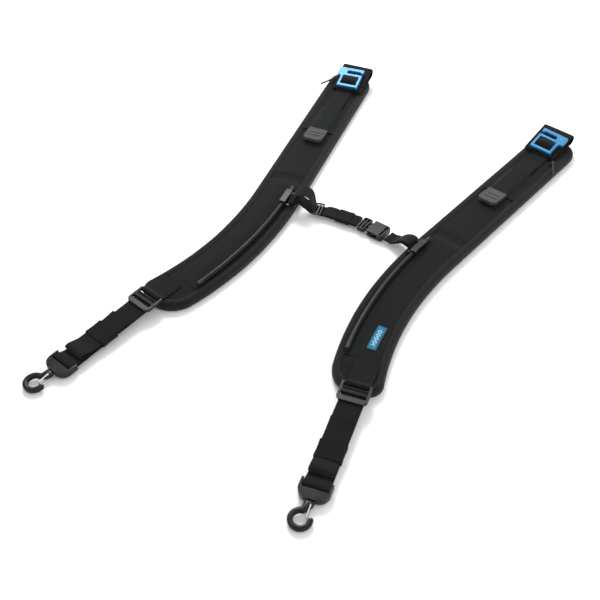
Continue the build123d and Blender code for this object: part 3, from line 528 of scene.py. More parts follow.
def webbing_weave(n, u, v):
    zigzag = n.math("PINGPONG", u, 0.0013)
    course = n.math("ADD", v, n.math("MULTIPLY", zigzag, 0.8))
    picks = n.wave(course, 0.0011)
    columns = n.wave(u, 0.0013)
    return n.math("MULTIPLY", picks, n.ramp(columns, 0.45, 1.0))


def twill_weave(n, u, v):
    rib = n.wave(n.math("ADD", u, v), 0.0016)
    threads = n.wave(n.math("SUBTRACT", u, v), 0.0007)
    return n.math("MULTIPLY", rib, n.ramp(threads, 0.6, 1.0))


def knit_weave(n, u, v):
    wales = n.wave(u, 0.0012)
    shifted = n.math("ADD", v, n.math("MULTIPLY", n.math("PINGPONG", u, 0.0012), 0.55))
    return n.math("MULTIPLY", n.ramp(wales, 0.25, 1.0), n.wave(shifted, 0.0016))


def mesh_weave(n, u, v):
    first = n.wave(n.math("ADD", u, n.math("MULTIPLY", v, 0.58)), 0.0034)
    second = n.wave(n.math("SUBTRACT", u, n.math("MULTIPLY", v, 0.58)), 0.0034)
    third = n.wave(v, 0.0029)
    holes = n.math("MULTIPLY", n.math("MULTIPLY", first, second), third)
    return n.ramp(holes, 1.0, 0.0, 0.12, 0.35)


def elastic_weave(n, u, v):
    return n.math("MULTIPLY", n.wave(v, 0.0012), n.ramp(n.wave(u, 0.0021), 0.55, 1.0))


def label_weave(n, u, v):
    return n.math("MULTIPLY", n.wave(u, 0.0006), n.ramp(n.wave(v, 0.0006), 0.5, 1.0))


def plastic(name, dark, light, rough, grain=2200.0, depth=0.00006, coat=0.0):
    """Moulded plastic with a fine satin grain, faint scuffs and paler worn edges."""
    n = Nodes(name, Specular_IOR_Level=0.2, Coat_Weight=coat, Coat_Roughness=0.25)
    place = n.node("ShaderNodeTexCoord").outputs["Object"]
    fine = n.noise(grain, 3.0, place)
    patches = n.noise(90.0, 4.0, place)
    stretch = n.node("ShaderNodeMapping", place)
    stretch.inputs["Scale"].default_value = (1, 14, 6)
    scuffs = n.ramp(n.noise(260.0, 2.0, stretch.outputs[0]), 0.0, 1.0, 0.62, 0.75)
    edges = n.ramp(n.node("ShaderNodeNewGeometry").outputs["Pointiness"], 0.0, 1.0, 0.52, 0.62)
    worn = n.math("MAXIMUM", n.math("MULTIPLY", edges, 0.7), n.math("MULTIPLY", scuffs, 0.25))
    colour = n.blend(n.math("ADD", worn, n.ramp(patches, 0.0, 0.2, 0.35, 0.7)), (*dark, 1), (*light, 1))
    patchy = n.ramp(patches, rough - 0.05, rough + 0.07, 0.3, 0.7)
    roughness = n.math("ADD", patchy, n.math("MULTIPLY", scuffs, 0.08))
    return n.finish(colour, roughness, fine, depth, 0.35)


def metal(name, dark, light, rough, metallic=1.0, coat=0.0):
    """Finished metal with a fine brushed or blasted grain."""
    n = Nodes(name, Metallic=metallic, Coat_Weight=coat, Coat_Roughness=0.18)
    place = n.node("ShaderNodeTexCoord").outputs["Object"]
    fine = n.noise(3000.0, 2.0, place)
    patches = n.noise(120.0, 3.0, place)
    colour = n.blend(n.ramp(patches, 0.0, 1.0, 0.3, 0.7), (*dark, 1), (*light, 1))
    return n.finish(colour, n.ramp(fine, rough - 0.04, rough + 0.08, 0.3, 0.7), fine, 0.00003, 0.25)


def label_material():
    """Blue woven label with a plain border and a row of pale diamonds."""
    n = Nodes("label_weave", Sheen_Weight=0.15, Specular_IOR_Level=0.25)
    uv = n.node("ShaderNodeUVMap", uv_map="weave").outputs[0]
    split = n.node("ShaderNodeSeparateXYZ", uv)
    u, v = split.outputs[0], split.outputs[1]
    relief = label_weave(n, u, v)
    across = n.math("ABSOLUTE", u)
    along = n.math("PINGPONG", v, LABEL_REPEAT * MM / 2)
    diamond = n.math("ADD", across, along)
    motif = n.math("MULTIPLY", n.math("LESS_THAN", diamond, 0.0031), n.math("GREATER_THAN", diamond, 0.0019))
    inside = n.math("LESS_THAN", n.math("ABSOLUTE", n.math("SUBTRACT", v, LABEL_LENGTH * MM / 2)), 0.0142)
    border = n.math("GREATER_THAN", across, 0.0048)
    cloth = n.blend(relief, (0.003, 0.10, 0.20, 1), (0.008, 0.20, 0.36, 1))
    cloth = n.blend(border, cloth, (0.004, 0.075, 0.15, 1))
    pale = n.math("MULTIPLY", n.math("MULTIPLY", motif, inside), 0.75)
    colour = n.blend(pale, cloth, (0.55, 0.66, 0.72, 1))
    return n.finish(colour, 0.7, relief, 0.00012)


WEBBING = fabric("black_webbing", (0.0035, 0.0035, 0.004), (0.019, 0.019, 0.0205), webbing_weave, sheen=0.06)
FACE = fabric("pad_face_twill", (0.0045, 0.0042, 0.004), (0.017, 0.0155, 0.015), twill_weave, sheen=0.07)
BAND = fabric("band_cloth", (0.004, 0.0045, 0.0044), (0.0145, 0.0158, 0.0153), twill_weave, sheen=0.06)
KNIT = fabric("binding_knit", (0.006, 0.005, 0.005), (0.027, 0.0225, 0.0225), knit_weave, 0.0004, sheen=0.12)
SPACER = fabric("spacer_mesh", (0.002, 0.002, 0.002), (0.03, 0.03, 0.032), mesh_weave, 0.0008, sheen=0.1)
ELASTIC = fabric("elastic_rib", (0.003, 0.003, 0.0034), (0.0155, 0.0155, 0.017), elastic_weave, sheen=0.06)
ZIP_TAPE = fabric("zip_tape", (0.004, 0.004, 0.004), (0.018, 0.018, 0.019), twill_weave, sheen=0.06)
LABEL = label_material()
THREAD = plastic("black_thread", (0.007, 0.007, 0.007), (0.036, 0.035, 0.036), 0.6, 4000.0)
BLACK = plastic("black_plastic", (0.004, 0.004, 0.0045), (0.020, 0.021, 0.024), 0.3)
GREY = plastic("grey_plastic", (0.034, 0.034, 0.034), (0.085, 0.085, 0.085), 0.5)
COIL = plastic("zip_coil", (0.007, 0.007, 0.0075), (0.04, 0.04, 0.043), 0.4)
PIPING = plastic("rail_piping", (0.007, 0.0073, 0.008), (0.034, 0.035, 0.037), 0.4, 1500.0, 0.00012)
BLUE = metal("blue_anodised", (0.008, 0.135, 0.29), (0.016, 0.18, 0.37), 0.44, 0.35, 0.1)
STEEL = metal("steel_wire", (0.55, 0.55, 0.56), (0.72, 0.72, 0.73), 0.2)


# ------------------------------------------------------------------ pads
def pad_top(station, out):
    """Height of the padded face: crowned, drawn down at the binding and at the sewn cross channel."""
    depth = edge_distance(station, out)
    rise = np.clip((depth - 6.0) / 14.0, 0, 1)
    height = 12.7 + 1.5 * rise * (2 - rise)
    from_line = np.abs(np.abs(station - CHANNEL_AT) - CHANNEL_HALF)
    strip = np.abs(station - CHANNEL_AT) < CHANNEL_HALF
    dip = 1.6 * np.exp(-((from_line / 2.6) ** 2)) + np.where(strip, 0.7, 0.0)
    return height - dip


def pad_grid(inset, step):
    """Stations and offsets of a grid over the pad, following its rounded corners."""
    ends = 14
    middle = np.arange(PAD_LOW + LOW_INNER_CORNER, PAD_HIGH - TOP_CORNER, step)
    bend = np.sin(np.linspace(0, pi / 2, ends + 1))[1:]
    low = PAD_LOW + LOW_INNER_CORNER - bend[::-1] * (LOW_INNER_CORNER - inset)
    high = PAD_HIGH - TOP_CORNER + bend * (TOP_CORNER - inset)
    station = np.concatenate([low, middle, [PAD_HIGH - TOP_CORNER], high])
    inward, outward = half_widths(station, inset)
    share = np.linspace(0, 1, round(2 * HALF / step) + 1)
    out = -inward[:, None] + (inward + outward)[:, None] * share
    return np.broadcast_to(station[:, None], out.shape), out


def swell(piece, pinned, limit):
    """Cloth under pressure fills the pad out between its pinned seams; no point moves past the limit."""
    group = piece.vertex_groups.new(name="seams")
    for index, weight in enumerate(pinned):
        if weight > 0:
            group.add([index], float(weight), "REPLACE")
    rest = np.array([v.co for v in piece.data.vertices])
    cloth = piece.modifiers.new("fill", "CLOTH")
    cloth.settings.quality = 4
    cloth.settings.mass = 0.3
    cloth.settings.tension_stiffness = 12
    cloth.settings.compression_stiffness = 12
    cloth.settings.bending_stiffness = 0.4
    cloth.settings.use_pressure = True
    cloth.settings.uniform_pressure_force = 4.0
    cloth.settings.effector_weights.gravity = 0.0
    cloth.settings.vertex_group_mass = "seams"
    cloth.point_cache.frame_start = 1
    cloth.point_cache.frame_end = 20
    scene = bpy.context.scene
    for number in range(1, 21):
        scene.frame_set(number)
    filled = piece.evaluated_get(bpy.context.evaluated_depsgraph_get())
    moved = np.array([v.co for v in filled.data.vertices]) - rest
    piece.modifiers.remove(cloth)
    piece.vertex_groups.remove(group)
    scene.frame_set(1)
    far = np.linalg.norm(moved, axis=1, keepdims=True)
    moved = moved * np.minimum(1, limit / np.maximum(far, 1e-9))
    moved[:, :2] *= 0.5
    for vertex, place in zip(piece.data.vertices, rest + moved):
        vertex.co = place


def make_pad(side):
    """Padded body, its knitted binding and its mesh back. Returns a function for the height of the face."""
    body = f"{side}_pad"
    station, out = pad_grid(4.0, 4.0)
    top = pad_point(station, out, pad_top(station, out))
    under = pad_point(station, out, 1.2)
    verts, faces = slab(top, under)
    uv = slab_uv(out, station)
    filling = (f"{side}_pad_foam", f"{side}_pad_face")
    pad = add_piece(f"{side}_pad_body", verts, faces, FACE, None, uv, filling, side)
    depth = edge_distance(station, out)
    line = np.abs(np.abs(station - CHANNEL_AT) - CHANNEL_HALF)
    channel = np.abs(station - CHANNEL_AT) < CHANNEL_HALF
    held = np.where((depth < BINDING) | (line < 2.2) | channel, 1.0, 0.0)
    held[[0, -1]] = 1.0
    pinned = np.concatenate([held, np.ones_like(held)], 1).ravel()
    swell(pad, pinned, 0.7 * MM)
    smoother = pad.modifiers.new("smoother", "SUBSURF")
    smoother.levels = smoother.render_levels = 1
    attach(pad, body)

    section = [(9.6, 14.1), (7.6, 14.55), (5.0, 14.75), (2.6, 14.3), (0.9, 12.6), (0.1, 10.0), (0.0, 7.5)]
    section += [(i, PAD_THICK - z) for i, z in section[-2:0:-1]] + [(BINDING, 0.02)]
    section = evenly(np.array(section), 1.15)
    along = unit(np.gradient(section, axis=0))
    inner = section + np.stack([-along[:, 1], along[:, 0]], 1) * CLOTH
    if edge_of(inner, section) < 0:
        inner = section - np.stack([-along[:, 1], along[:, 0]], 1) * CLOTH
    outline = np.concatenate([section, inner[::-1]])
    loops = []
    for inset, z in outline:
        ring = rim(inset)
        loops.append(pad_point(ring[:, 0], ring[:, 1], z))
    loops = np.array(loops)
    around = np.arange(loops.shape[1]) * 3.0
    pucker = 0.10 * np.sin(2 * pi * around / 6.0) + 0.22 * np.sin(around / 31.0) * np.sin(around / 17.0 + 1)
    upper = np.clip((outline[:, 1] - 9.0) / 5.0, 0, 1) * np.clip(outline[:, 0] / 3.0, 0.2, 1)
    loops[..., 2] += upper[:, None] * pucker[None, :]
    loops[..., 2] = np.clip(loops[..., 2], 0.0, PAD_THICK)
    width = np.concatenate([[0], np.cumsum(np.linalg.norm(np.diff(outline, axis=0), axis=1))])
    uv = np.stack(np.broadcast_arrays(width[:, None], around[None, :]), -1).reshape(-1, 2)
    faces = loft(loops, closed=True)
    taken = (f"{side}_pad_binding",)
    verts = loops.reshape(-1, 3)
    name = f"{side}_pad_binding_tape"
    add_piece(name, verts, faces, KNIT, body, uv, taken, side, sharp=60)
    runs = []
    for inset, z in ((8.2, 14.5), (5.9, 14.75)):
        ring = rim(inset)
        line = pad_point(ring[:, 0], ring[:, 1], z + 0.02)
        line[:, 2] += np.clip(inset / 3.0, 0.2, 1) * pucker
        runs.append(facing_up(np.concatenate([line, line[:1]])))
    add_stitches(f"{side}_binding_stitches", runs, body, pitch=3.6, length=2.4, side=side)

    station, out = pad_grid(BINDING - 1.0, 4.0)
    quilt = 0.25 * np.sin(station / 9.0) * np.sin(out / 6.0)
    upper = pad_point(station, out, 1.3 + quilt * 0.2)
    lower = pad_point(station, out, np.where(edge_distance(station, out) > BINDING + 2, 0.05, 0.3))
    verts, faces = slab(upper, lower)
    uv = slab_uv(out, station)
    add_piece(f"{side}_pad_back", verts, faces, SPACER, body, uv, (f"{side}_pad_mesh",), side)

    tree = BVHTree.FromObject(pad, bpy.context.evaluated_depsgraph_get())
    sign = SIDES[side]

    def height(points):
        """Height of the padded face under each point, in millimetres."""
        flat = points.reshape(-1, 3)
        starts = [Vector((sign * x * MM, y * MM, 0.05)) for x, y in flat[:, :2]]
        found = [tree.ray_cast(start, Vector((0, 0, -1)))[0] for start in starts]
        return np.array([f.z / MM if f else PAD_THICK for f in found]).reshape(points.shape[:-1])

    edges = []
    for line in (CHANNEL_AT - CHANNEL_HALF, CHANNEL_AT + CHANNEL_HALF):
        path = pad_point(line, np.linspace(BINDING - HALF, HALF - BINDING, 60), 0.0)
        path[:, 2] = height(path)
        edges.append(facing_up(path))
    add_stitches(f"{side}_channel_stitches", edges, body, side=side)
    return height


def edge_of(inner, section):
    """Positive where the second outline lies on the pad's side of the first, at mid height."""
    middle = len(section) // 2
    return inner[middle, 0] - section[middle, 0]


# ------------------------------------------------------------------ cross band, lifter and top loop
def make_cross_band(side, height):
    body = f"{side}_pad"
    reach = HALF - BINDING
    rise = [(-reach - 1, 0.4), (-19.5, 0.5), (-16.4, 2.6), (-14.4, 4.5), (-11, 5.0), (0, 5.1)]
    mirrored = [(2 * LIFTER_OUT - x, z) for x, z in rise[:-1]][::-1]
    mirrored[-1] = (reach + 1, 0.4)
    line = rounded(rise + mirrored, 2.5, 1.3)
    station = np.linspace(BAND_LOW, BAND_HIGH, 22)
    skew = 1.2 * np.cos(line[:, 0] / reach * pi / 2)
    along = station[:, None] + np.linspace(-1, 1, 22)[:, None] * skew
    out = np.broadcast_to(line[:, 0], along.shape)
    base = pad_point(along, out, 0.0)
    ground = np.maximum(height(base), 13.6)
    raised = np.broadcast_to(line[:, 1], along.shape)
    z = np.maximum(ground + 0.4, 13.8 + raised) + wander(base, 0.25, 16.0) * np.clip(raised / 3, 0, 1)
    z = np.minimum(z, 19.2)
    hem = 0.55 * (np.abs(np.linspace(-1, 1, 22)) > 0.9)[:, None]
    top = stood(base, z + CLOTH / 2 + hem * 0.5)
    verts, faces = slab(top, stood(base, z - CLOTH / 2))
    name, taken = f"{side}_cross_band_cloth", (f"{side}_cross_band",)
    add_piece(name, verts, faces, BAND, body, slab_uv(out, along), taken, side)
    runs = [facing_up(top[row] + SEAM_LIFT) for row in (3, 18)]
    for column in (int(np.searchsorted(line[:, 0], x)) for x in (-18.6, 15.2)):
        runs.append(facing_up(top[1:-1, column] + SEAM_LIFT))
    add_stitches(f"{side}_band_stitches", runs, body, side=side)


def make_lifter(side):
    """Webbing from the grip through the band to the shoulder hook, folded double on its lower half."""
    body = f"{side}_lifter"

    def place(along, across, z):
        return pad_point(along, LIFTER_OUT + across, z)

    base = ribbon(rounded([(246, 16.1), (HOOK_FLEX + 1, 16.1)], 3), place, LIFTER_WIDTH, lumps=0.08)
    add_strap(f"{side}_lifter_strap", base, body, f"{side}_lifter_webbing", side)
    fold = [(246, 17.7), (312, 17.7), (329, 17.8), (333.4, 17.6)]
    upper = ribbon(rounded(fold, 4), place, LIFTER_WIDTH - 0.4, thick=1.4, lumps=0.1)
    add_strap(f"{side}_lifter_fold", upper, body, side=side)
    end = upper["reach"][-1]
    half = LIFTER_WIDTH / 2 - 2.2
    runs = [on_strap(upper, [(end - back, -half), (end - back, half)]) for back in (3, 6)]
    add_stitches(f"{side}_lifter_stitches", runs, body, pitch=2.4, length=1.9, side=side)

    def hook_place(along, across, lift):
        drift = np.clip((-17.0 - np.asarray(along)) / 6.0, 0.0, 1.0)
        return hook_point(along, across + (LIFTER_OUT - HOOK_OUT) * drift, lift)

    path = [(-24.5, -4.3), (-22.8, -3.0), (-20.5, -1.3), (-16.2, -1.15), (-13.6, -0.4), (-11.5, 2.6)]
    path += [(-8.5, 4.7), (-5.2, 5.0), (-2.2, 4.6), (1.5, 2.9), (2.2, 0.6), (1.4, -1.4), (-2.0, -1.7)]
    wrap = ribbon(rounded(path, 2.5, 1.2), hook_place, LIFTER_WIDTH, arch=0.25)
    add_strap(f"{side}_hook_strap", wrap, f"{side}_shoulder_hook", f"{side}_hook_webbing", side)


def loop_section():
    """Side view of the folded loop's middle line, seen along the pad from its upper end."""
    swing = asin((LOOP_RADIUS - LOOP_NIP) / LOOP_LENGTH)
    big = LOOP_RADIUS - WEB / 2
    small = LOOP_NIP - WEB / 2
    big_turn = np.linspace(-pi / 2, pi / 2 + swing, 22)
    points = [(PAD_HIGH + big * cos(t), LOOP_UNDER + LOOP_RADIUS + big * sin(t)) for t in big_turn]
    far = np.linspace(pi / 2 + swing, 3 * pi / 2, 12)
    centre = PAD_HIGH - LOOP_LENGTH
    points += [(centre + small * cos(t), LOOP_UNDER + LOOP_NIP + small * sin(t)) for t in far]
    return evenly(np.array(points + points[:1]), 1.6)


def make_top_loop(side):
    body = f"{side}_pad"

    def place(along, across, z):
        return pad_point(along, LOOP_OUT + across, z)

    loop = ribbon(loop_section(), place, LOOP_WIDTH, columns=16, lumps=0.16, closed=True)
    add_strap(f"{side}_top_loop_strap", loop, body, f"{side}_top_loop", side)
    foot = [(PAD_HIGH - LOOP_LENGTH - 2, 14.7), (PAD_HIGH - LOOP_LENGTH + 13, 14.7)]
    patch = ribbon(rounded(foot, 2), place, LOOP_WIDTH - 1.5, thick=1.0, lumps=0.05)
    add_strap(f"{side}_top_loop_foot", patch, body, side=side)


# ------------------------------------------------------------------ zip
def make_zip(side, height):
    body = f"{side}_pad"
    station = np.linspace(ZIP_LOW - 3, ZIP_HIGH + 2, 42)
    verts, faces, uv = [], [], []
    for low, high in ((-3.2, -0.75), (0.75, 3.2)):
        across = np.linspace(low, high, 5)
        out = ZIP_OUT + np.broadcast_to(across, (len(station), 5))
        along = np.broadcast_to(station[:, None], out.shape)
        base = pad_point(along, out, 0.0)
        ground = height(base)
        crown = 0.55 - 0.12 * np.abs(across) ** 1.2
        top = stood(base, np.clip(ground + crown + 0.15, 13.4, 14.9))
        tape, sides = slab(top, stood(base, ground - 0.4))
        offset = sum(len(x) for x in verts)
        verts.append(tape)
        faces += [tuple(offset + i for i in face) for face in sides]
        uv.append(slab_uv(out, along))
    verts, uv, taken = np.concatenate(verts), np.concatenate(uv), (f"{side}_zip_chain",)
    add_piece(f"{side}_zip_tapes", verts, faces, ZIP_TAPE, body, uv, taken, side)
    runs = []
    for k in range(int((ZIP_HIGH - ZIP_LOW) / TOOTH_PITCH)):
        at = ZIP_LOW + k * TOOTH_PITCH
        way = 1 if k % 2 else -1
        out = ZIP_OUT + np.linspace(-1.15, 0.45, 4) * way
        line = pad_point(at, out, 0.0)
        line[:, 2] = min(float(height(line[1:2])[0]) + 0.62, 14.75)
        runs.append(facing_up(line))
    add_stitches(f"{side}_zip_coil", runs, body, 1.6, 1.6, 0.36, side, COIL)


# ------------------------------------------------------------------ rail panel
def make_rail_panel(side, height):
    body = f"{side}_pad"
    rows = 96
    angle = np.linspace(RAIL_HIGH_ANGLE + 0.3, RAIL_LOW_ANGLE - 0.5, rows)
    across = np.concatenate([np.linspace(PANEL_IN, -6, 6), np.linspace(-4, PANEL_OUT, 6)])
    grid_angle, offset = np.broadcast_arrays(angle[:, None], across)
    base = rail_point(grid_angle, RAIL_COURSE + offset, 0.0)
    ground = height(base)
    near = np.exp(-((offset / 3.2) ** 2))
    z = np.minimum(ground + 0.35, 14.7)
    z = z * (1 - near) + 14.85 * near
    top = stood(base, z + 0.3 + wander(base, 0.12, 12.0))
    verts, faces = slab(top, stood(base, np.minimum(z - 0.5, ground - 0.1)))
    uv = slab_uv(offset, grid_angle * radians(1) * RAIL_COURSE)
    name, taken = f"{side}_rail_panel_cloth", (f"{side}_rail_panel",)
    add_piece(name, verts, faces, BAND, body, uv, taken, side)
    runs = [facing_up(top[:, k] + SEAM_LIFT) for k in (1, 5)]
    add_stitches(f"{side}_rail_panel_stitches", runs, body, side=side)


# ------------------------------------------------------------------ lower webbing
def make_anchor(side):
    """Webbing sewn to the pad and folded round the ladder lock's top bar."""

    def place(along, across, z):
        point = lower_point(-along / cos(LOWER_SLOPE), across, 0.0)
        point[..., 2] = z
        return point

    path = [(38, 15.9), (9, 15.9), (3.6, 18.4), (3.0, 21.4), (0.6, 23.0), (-2.6, 22.2), (-2.9, 18.6)]
    path += [(-1.6, 16.7), (2.5, 15.2), (10, 14.5)]
    strap = ribbon(rounded(path, 2.2, 1.3), place, LOWER_WIDTH, lumps=0.14)
    body = f"{side}_pad"
    add_strap(f"{side}_anchor_strap", strap, body, f"{side}_anchor_webbing", side)
    half = LOWER_WIDTH / 2 - 2.5
    runs = [on_strap(strap, line) for line in box_stitch(2.0, 20.0, half)]
    add_stitches(f"{side}_anchor_stitches", runs, body, pitch=2.6, length=2.0, side=side)


def make_lower(side):
    ladder, lower = f"{side}_ladder", f"{side}_lower"
    run = -SWIVEL_REACH
    turn = np.linspace(-pi / 2, pi / 2 + 0.35, 12)
    path = [(4.8, -3.3), (12.6, -3.3), (17, run + 0.05), (SWIVEL_AT - 4, run)]
    path = list(map(tuple, rounded(path, 3.5, 1.8)))
    path += [(SWIVEL_AT + SWIVEL_REACH * cos(t), SWIVEL_REACH * sin(t)) for t in turn]
    back = rounded([path[-1], (134.5, 1.9), (129.5, -1.3), (119, -1.55)], 5, 1.8)
    path = evenly(np.array(path + list(map(tuple, back[1:]))), 2.0)
    strap = ribbon(path, lower_point, LOWER_WIDTH, lumps=0.15)
    bend = (ladder, lower, lower_point(16.0, 0, 0), lower_point(70.0, 0, 0))
    add_strap(f"{side}_lower_strap", strap, bend, f"{side}_lower_webbing", side)

    tail = [(7.6, 3.4), (10.5, 2.8), (13.0, -1.0), (17.5, -1.65), (100, -1.55), (112, -1.0)]
    tail += [(122.0, 0.6), (126.4, 2.6), (125.2, 5.6), (120.5, 6.0), (113, 3.4)]
    tail += [(106, 0.5), (96, 0.15), (62, 0.5), (50, 2.2)]
    at = ELASTIC_AT[side]
    if at < 90:
        tail = [(a, h + (0.5 if 94 < a < 107 and h > 0 else 0)) for a, h in tail]
    fold = ribbon(rounded(tail, 4.5, 1.8), lower_point, LOWER_WIDTH - 0.3, arch=0.15, lumps=0.22)
    add_strap(f"{side}_tail_strap", fold, ladder, f"{side}_webbing_tail", side)
    end = fold["reach"][-1]
    half = LOWER_WIDTH / 2 - 1.6
    runs = [on_strap(fold, [(end - x, -half), (end - x, half)]) for x in (2.0, 7.5)]
    add_stitches(f"{side}_tail_stitches", runs, ladder, pitch=2.4, length=1.9, side=side)

    keeper_ring(f"{side}_keeper", side, lower_point, at, 23.0, LOWER_WIDTH + 2.6, (-5.1, 2.6))


def keeper_ring(body, side, place, at, length, width, heights):
    """Elastic band round a strap: a rounded ring, drawn in a little at its middle."""
    low, high = heights
    half = width / 2
    outline = [(-half, low), (half, low), (half, high), (-half, high)]
    ring = rounded(outline, 1.6, 1.3, closed=True)[:-1]
    centre = np.array([0, (low + high) / 2])
    along = np.linspace(-length / 2, length / 2, 12)
    squeeze = 1 - 0.025 * np.cos(along / length * pi) ** 2

    def rings_of(shape):
        rise = shape[:, 1] - centre[1]
        pairs = zip(along, squeeze)
        return np.array([place(at + a, shape[:, 0] * s, centre[1] + rise * s) for a, s in pairs])

    outer = rings_of(ring)
    inner = rings_of(ring - unit(ring - centre) * 0.9)
    loops = np.concatenate([outer, inner[::-1]])
    girth = np.arange(len(ring)) * 1.3
    v = np.concatenate([along, along[::-1]])
    uv = np.stack(np.broadcast_arrays(girth[None, :], v[:, None]), -1).reshape(-1, 2)
    verts, faces = loops.reshape(-1, 3), loft(loops, closed=True)
    taken = (f"{side}_elastic_keeper",) if body.endswith("keeper") else ("sternum_keeper",)
    name = f"{body}_loop" if body.endswith("keeper") else "sternum_keeper_loop"
    add_piece(name, verts, faces, ELASTIC, body, uv, taken, side)


# ------------------------------------------------------------------ sternum strap
def make_sternum():
    tongue = 20.3
    level = 7.8
    flat_end = PIVOT_X - 11.7
    foot = flat_end - 18.0

    hem = [(PIVOT_X - 3, 15.2), (PIVOT_X + 2.2, 15.6), (PIVOT_X + 3.2, 18.2), (PIVOT_X + 1.0, tongue + 0.6)]
    hem += [(flat_end, tongue + 0.9), (foot, level)]
    left = [(-x, z) for x, z in hem] + [(4.5, level)]
    strap = ribbon(rounded(left, 3.0, 1.8), sternum_point, STERNUM_WIDTH, arch=0.2, lumps=0.25)
    add_strap("sternum_strap_left", strap, "sternum_left", "strap_left")

    second = [(-46.5, 1.0), (-44, 2.3), (-36, 3.4), (-29, 2.0), (-7, 1.9), (-1, 2.6), (4.5, 1.9)]
    second = [(x, level + rise) for x, rise in second]
    bulge = ribbon(rounded(second, 5.0, 1.6), sternum_point, STERNUM_WIDTH - 0.2, arch=0.5, lumps=0.3)
    add_strap("sternum_doubled_webbing", bulge, "sternum_left")

    arch = [(-89.5, tongue + 1.9), (-88.6, 27), (-85, 34.6), (-76, 37.4), (-67, 34.6)]
    arch += [(-63.3, 25), (-62.6, 14), (-60.5, 10)]
    loop = ribbon(rounded(arch, 6.0, 1.6), sternum_point, STERNUM_WIDTH - 0.3, arch=0.15, lumps=0.25)
    add_strap("sternum_tail_loop", loop, "sternum_left", "tail_loop")
    runs = [on_strap(loop, [(1.5, -7.5), (1.5, 7.5)])]
    end = strap["reach"][-1] - 6.0
    runs.append(on_strap(strap, [(end, -8), (end, 8)]))
    add_stitches("sternum_stitches", runs, "sternum_left", pitch=2.4, length=1.9)

    right = [(51.0, level)] + hem[::-1]
    strap = ribbon(rounded(right, 3.0, 1.8), sternum_point, STERNUM_WIDTH, arch=0.2, lumps=0.25)
    add_strap("sternum_strap_right", strap, "sternum_right", "strap_right")
    folded = [(60.5, level + 1.7), (66, 10.6), (74, 19.5), (82, 25.2), (89, 26.4)]
    folded += [(93.0, 24.3), (90.5, 22.9), (84, 22.6)]
    loop = ribbon(rounded(folded, 3.5, 1.6), sternum_point, STERNUM_WIDTH - 0.6, arch=0.3, lumps=0.3)
    add_strap("sternum_fold_right", loop, "sternum_right")
    keeper_ring("sternum_elastic", "right", sternum_point, -17.0, 20.0, STERNUM_WIDTH + 2.6, (5.3, 11.8))


# ------------------------------------------------------------------ label
def make_label(height):
    station = np.linspace(-LABEL_LENGTH / 2, LABEL_LENGTH / 2, 26)
    across = np.linspace(-LABEL_WIDTH / 2, LABEL_WIDTH / 2, 9)
    turn = radians(-4.0)
    along, side = np.meshgrid(station, across, indexing="ij")
    centre_out = LABEL_WIDTH / 2 + 2.6
    upward = LABEL_AT + along * cos(turn) + side * sin(turn)
    base = pad_point(upward, centre_out + side * cos(turn) - along * sin(turn), 0.0)
    ground = height(base)
    top = stood(base, ground + 0.75)
    verts, faces = slab(top, stood(base, ground - 0.2))
    uv = slab_uv(side, along + LABEL_LENGTH / 2)
    add_piece("woven_label_cloth", verts, faces, LABEL, "right_pad", uv, ("woven_label",))
    runs = [facing_up(line + SEAM_LIFT) for line in (top[:, 1], top[:, -2], top[1], top[-2])]
    add_stitches("label_stitches", runs, "right_pad", pitch=2.2, length=1.5, radius=0.2)


# ------------------------------------------------------------------ snap hook
def make_snap(side):
    """Hook of the snap: a rounded bar swept round the ring from the neck, with fluting outside."""
    sign = SIDES[side]
    centre_x, centre_y = RING_CENTRE
    mean = 10.8
    turn = np.radians(np.linspace(98, 381, 74))
    path = [(0, -156.2), (0, -159.9), (0, -160.4), (-0.5, -163.0), (-1.6, -166.5), (-3.0, -169.6)]
    path += [(centre_x + mean * cos(t), centre_y + mean * sin(t)) for t in turn]
    path = np.array(path)
    wide = np.full(len(path), 3.2)
    thick = np.full(len(path), 3.4)
    wide[:6] = (2.9, 2.95, 5.4, 5.9, 5.2, 4.0)
    thick[:6] = (2.9, 2.95, 3.3, 3.45, 3.5, 3.5)
    wide[6:12] = np.linspace(3.7, 3.2, 6)
    wide[-3:] = (3.1, 2.6, 1.6)
    thick[-3:] = (3.3, 2.8, 1.7)
    ahead = unit(np.gradient(path, axis=0))
    beside = np.stack([ahead[:, 1], -ahead[:, 0]], 1)  # away from the ring's middle is negative
    around = np.linspace(0, 2 * pi, 25)[:-1]
    power = np.full(len(path), 0.62)
    power[:2] = 1.0
    rings = []
    for k, point in enumerate(path):
        c, s = np.cos(around), np.sin(around)
        x = np.sign(c) * np.abs(c) ** power[k] * wide[k]
        z = np.sign(s) * np.abs(s) ** power[k] * thick[k]
        degree = 98 + (k - 6) * (381 - 98) / 73
        if 112 < degree < 196:
            ripple = 0.32 * sin(radians((degree - 112) * 360 / 12.0))
            outer = np.clip(-c if sign_of_ring(path, beside, k) < 0 else c, 0, 1) ** 2
            x = x * (1 + ripple * outer / wide[k])
        flat = point[None, :] + beside[k][None, :] * x[:, None]
        rings.append(lower_point(-flat[:, 1], flat[:, 0], z, sign))
    verts = np.array(rings).reshape(-1, 3)
    faces = capsule_faces(len(rings), 24)
    if side == "left":
        verts = verts * (-1, 1, 1)  # add_piece mirrors it back: this hook isn't mirrored
    body, taken = f"{side}_snap", (f"{side}_snap_hook",)
    add_piece(f"{side}_snap_ring", verts, faces, BLACK, body, None, taken, side)


def sign_of_ring(path, beside, k):
    """+1 where the sideways direction points away from the ring's middle."""
    return 1 if np.dot(path[k] - RING_CENTRE, beside[k]) > 0 else -1


